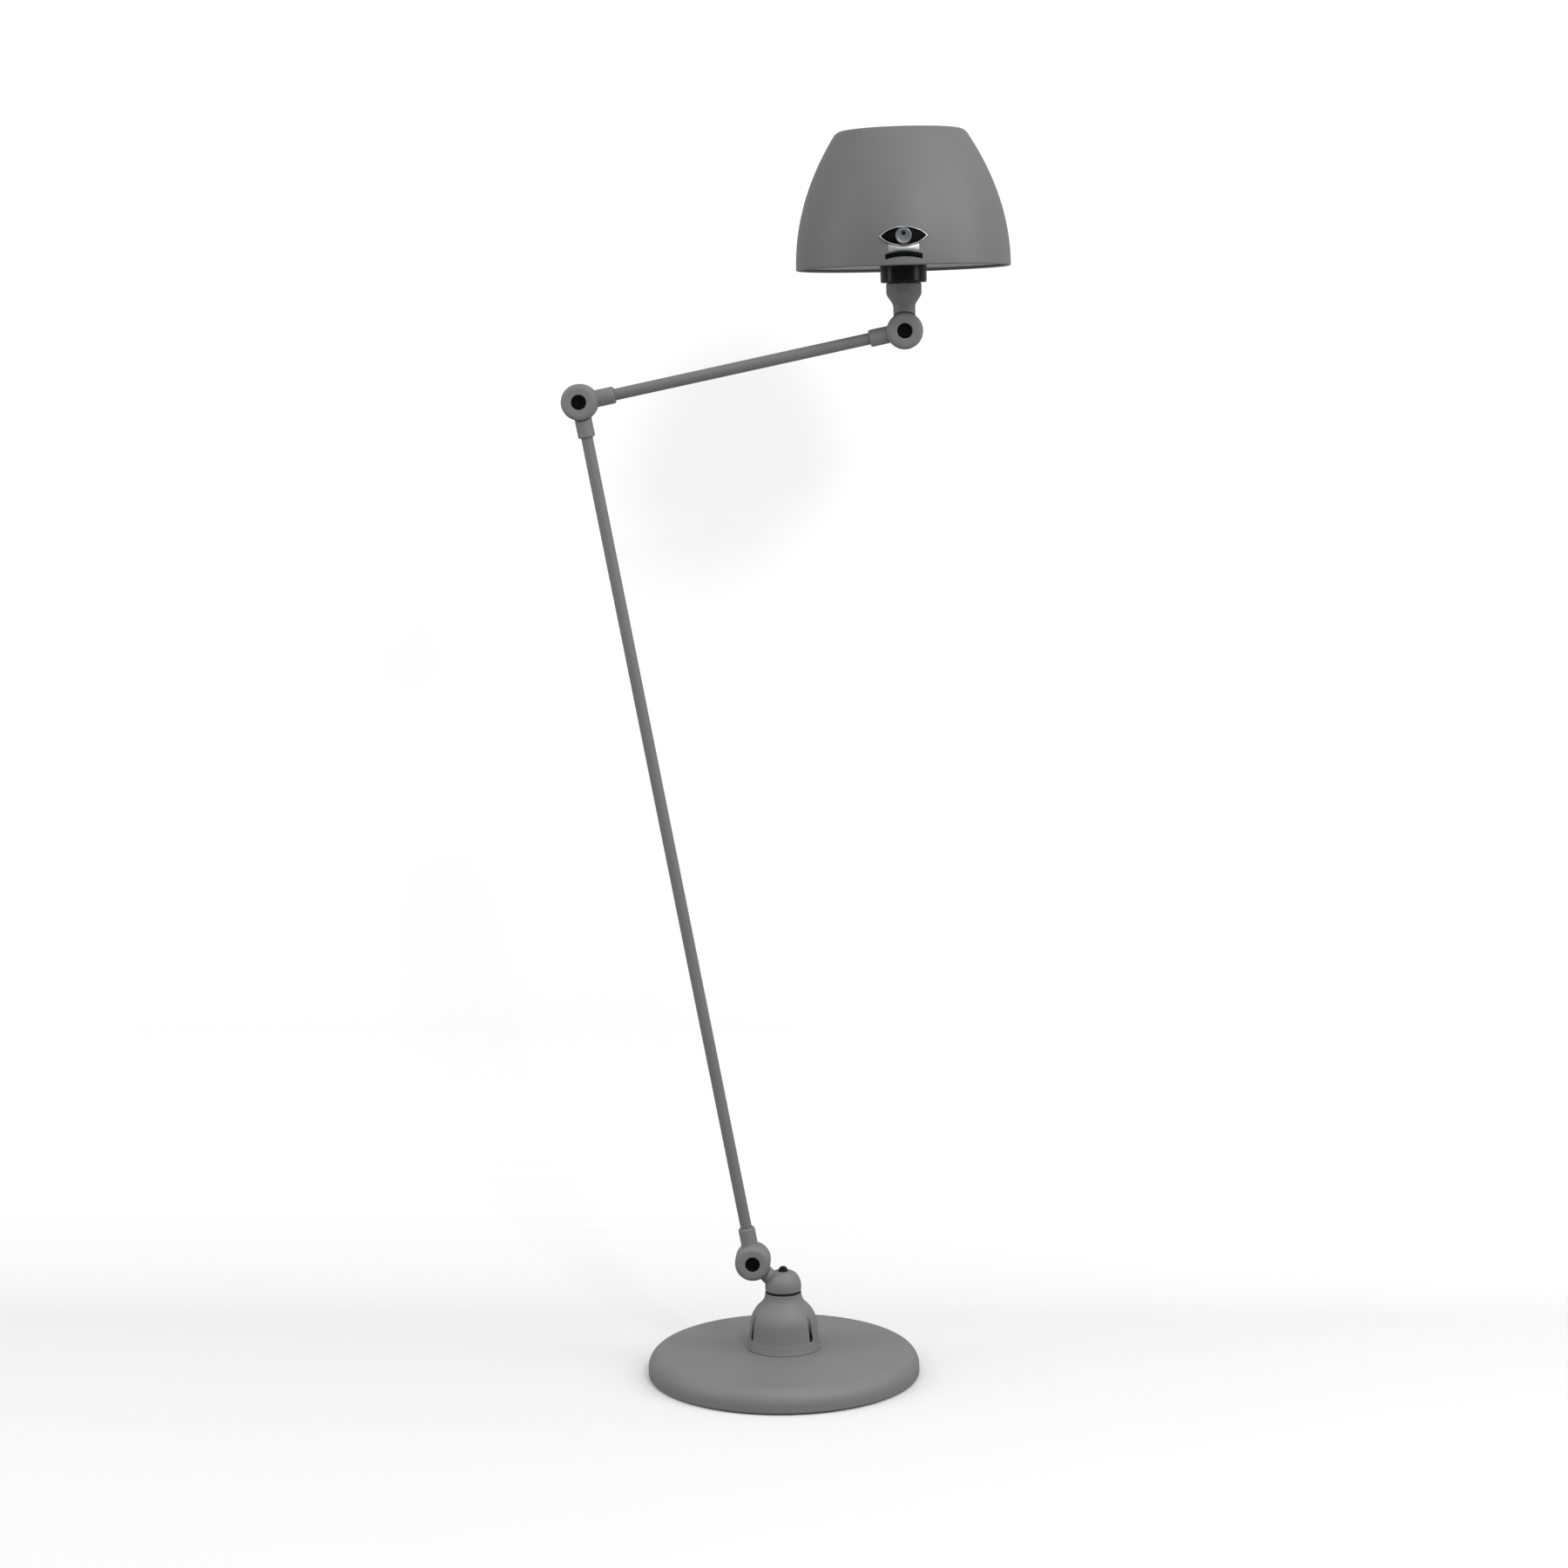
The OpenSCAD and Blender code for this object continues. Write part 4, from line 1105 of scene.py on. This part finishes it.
def paper_material():
    """Bright paper that throws little light back, and is clear from behind."""
    material, tree, shader, place = new_material("paper")
    grain = effect(tree, "Worked grain", place, Scale=200.0)
    wall = blend_colours(tree, grain["Grain"], (0.88, 0.88, 0.88), (0.9, 0.9, 0.9))
    geometry = add(tree, "ShaderNodeNewGeometry")
    upright = add(tree, "ShaderNodeSeparateXYZ")
    wire(tree, (geometry, "True Normal", upright, "Vector"))
    floor = upright.outputs["Z"]
    pale = blend_colours(tree, floor, wall, (0.74, 0.74, 0.74))
    seen = add(tree, "ShaderNodeLightPath").outputs["Is Camera Ray"]
    tree.links.new(blend_colours(tree, seen, (0.35, 0.35, 0.35), pale), shader.inputs["Base Color"])
    shader.inputs["Roughness"].default_value = 0.9
    shader.inputs["Specular IOR Level"].default_value = 0.1
    glow = add(tree, "ShaderNodeEmission", Strength=finish().paper_glow)
    tree.links.new(blend_colours(tree, floor, (1, 1, 1), (0.2, 0.2, 0.2)), glow.inputs["Color"])
    both = add(tree, "ShaderNodeAddShader")
    clear = add(tree, "ShaderNodeBsdfTransparent")
    sides = add(tree, "ShaderNodeMixShader")
    wire(tree, (shader, "BSDF", both, 0), (glow, "Emission", both, 1), (geometry, "Backfacing", sides, 0),
         (both, "Shader", sides, 1), (clear, "BSDF", sides, 2),
         (sides, "Shader", tree.nodes["Material Output"], "Surface"))
    return material


def build_room_light():
    """A white surround that is dimmer at eye level than overhead, and pale where it is seen."""
    world = bpy.data.worlds.new("studio")
    world.use_nodes = True
    bpy.context.scene.world = world
    tree = world.node_tree
    place = add(tree, "ShaderNodeTexCoord")
    split = add(tree, "ShaderNodeSeparateXYZ")
    level = add(tree, "ShaderNodeMapRange", From_Min=0.0, To_Min=finish().sky_side, To_Max=finish().sky_top)
    path = add(tree, "ShaderNodeLightPath")
    seen = add(tree, "ShaderNodeMix", B=0.88)
    background = tree.nodes["Background"]
    background.inputs["Color"].default_value = (1, 1, 1, 1)
    wire(tree, (place, "Generated", split, "Vector"), (split, "Z", level, "Value"),
         (path, "Is Camera Ray", seen, "Factor"), (level, "Result", seen, "A"),
         (seen, "Result", background, "Strength"))


LIGHT_AIM = (0.0, 0.0, 0.75)


def build_lights():
    """The room light, a main softbox, a tall light on the right and a weak one on the left."""
    bpy.context.scene.view_settings.view_transform = "Standard"
    build_room_light()
    add_light("key", (0.85, -1.8, 1.95), LIGHT_AIM, (0.4, 0.4), finish().key_power)
    add_light("side", (1.75, -0.65, 1.5), LIGHT_AIM, (0.7, 1.8), finish().side_power)
    add_light("fill", (-1.7, -0.5, 1.1), LIGHT_AIM, (0.5, 1.4), finish().fill_power)


# ---------------------------------------------------------------- operators and panel

class LAMP_OT_stage(bpy.types.Operator):
    """Set up the camera, the backdrop and the lights"""
    bl_idname = "lamp.stage"
    bl_label = "Stage"

    def execute(self, context):
        build_camera()
        build_backdrop()
        build_lights()
        return {"FINISHED"}


class LAMP_OT_finishes(bpy.types.Operator):
    """Make the materials and give every CAD part its finish"""
    bl_idname = "lamp.finishes"
    bl_label = "Finishes"

    def execute(self, context):
        make_materials()
        dress_nodes()
        return {"FINISHED"}


class LAMP_OT_base(bpy.types.Operator):
    """Build the cast base, its felt pad and the cord bush"""
    bl_idname = "lamp.base"
    bl_label = "Base"

    def execute(self, context):
        build_base()
        return {"FINISHED"}


class LAMP_OT_bell(bpy.types.Operator):
    """Build the bell, its screws and the fittings of the swivel"""
    bl_idname = "lamp.bell"
    bl_label = "Bell"

    def execute(self, context):
        build_bell()
        build_screws()
        return {"FINISHED"}


class LAMP_OT_joints(bpy.types.Operator):
    """Build the cast halves of the joints and their caps"""
    bl_idname = "lamp.joints"
    bl_label = "Joints"

    def execute(self, context):
        build_castings()
        build_joint_caps()
        return {"FINISHED"}


class LAMP_OT_arms(bpy.types.Operator):
    """Build the two arm tubes"""
    bl_idname = "lamp.arms"
    bl_label = "Arms"

    def execute(self, context):
        build_arms()
        return {"FINISHED"}


class LAMP_OT_holder(bpy.types.Operator):
    """Build the lampholder, its rings and the bulb"""
    bl_idname = "lamp.holder"
    bl_label = "Lampholder and bulb"

    def execute(self, context):
        build_holder()
        build_bulb()
        return {"FINISHED"}


class LAMP_OT_shade(bpy.types.Operator):
    """Build the spun shade with its switch hole and rivets"""
    bl_idname = "lamp.shade"
    bl_label = "Shade"

    def execute(self, context):
        build_shade()
        return {"FINISHED"}


class LAMP_OT_switch(bpy.types.Operator):
    """Build the switch's frame, saddle, arch and knob"""
    bl_idname = "lamp.switch"
    bl_label = "Switch"

    def execute(self, context):
        build_switch()
        return {"FINISHED"}


OPERATORS = (LAMP_OT_stage, LAMP_OT_finishes, LAMP_OT_base, LAMP_OT_bell, LAMP_OT_joints, LAMP_OT_arms,
             LAMP_OT_holder, LAMP_OT_shade, LAMP_OT_switch)


class LAMP_PT_panel(bpy.types.Panel):
    """Lists the lamp's settings and its build steps"""
    bl_idname = "LAMP_PT_panel"
    bl_label = "Reading Lamp"
    bl_space_type = "VIEW_3D"
    bl_region_type = "UI"
    bl_category = "Reading Lamp"

    def draw(self, context):
        layout = self.layout
        for group in (context.scene.lamp_sizes, context.scene.lamp_finish):
            box = layout.box()
            for name in group.__annotations__:
                box.prop(group, name)
        for operator in OPERATORS:
            layout.operator(operator.bl_idname)


CLASSES = (LampSizes, LampFinish) + OPERATORS + (LAMP_PT_panel,)


def register():
    for item in CLASSES:
        bpy.utils.register_class(item)
    bpy.types.Scene.lamp_sizes = bpy.props.PointerProperty(type=LampSizes)
    bpy.types.Scene.lamp_finish = bpy.props.PointerProperty(type=LampFinish)


def unregister():
    del bpy.types.Scene.lamp_finish
    del bpy.types.Scene.lamp_sizes
    for item in reversed(CLASSES):
        bpy.utils.unregister_class(item)


def main():
    register()
    bpy.ops.lamp.stage()
    bpy.ops.lamp.finishes()
    bpy.ops.lamp.base()
    bpy.ops.lamp.bell()
    bpy.ops.lamp.joints()
    bpy.ops.lamp.arms()
    bpy.ops.lamp.holder()
    bpy.ops.lamp.shade()
    bpy.ops.lamp.switch()


if __name__ == "__main__":
    main()
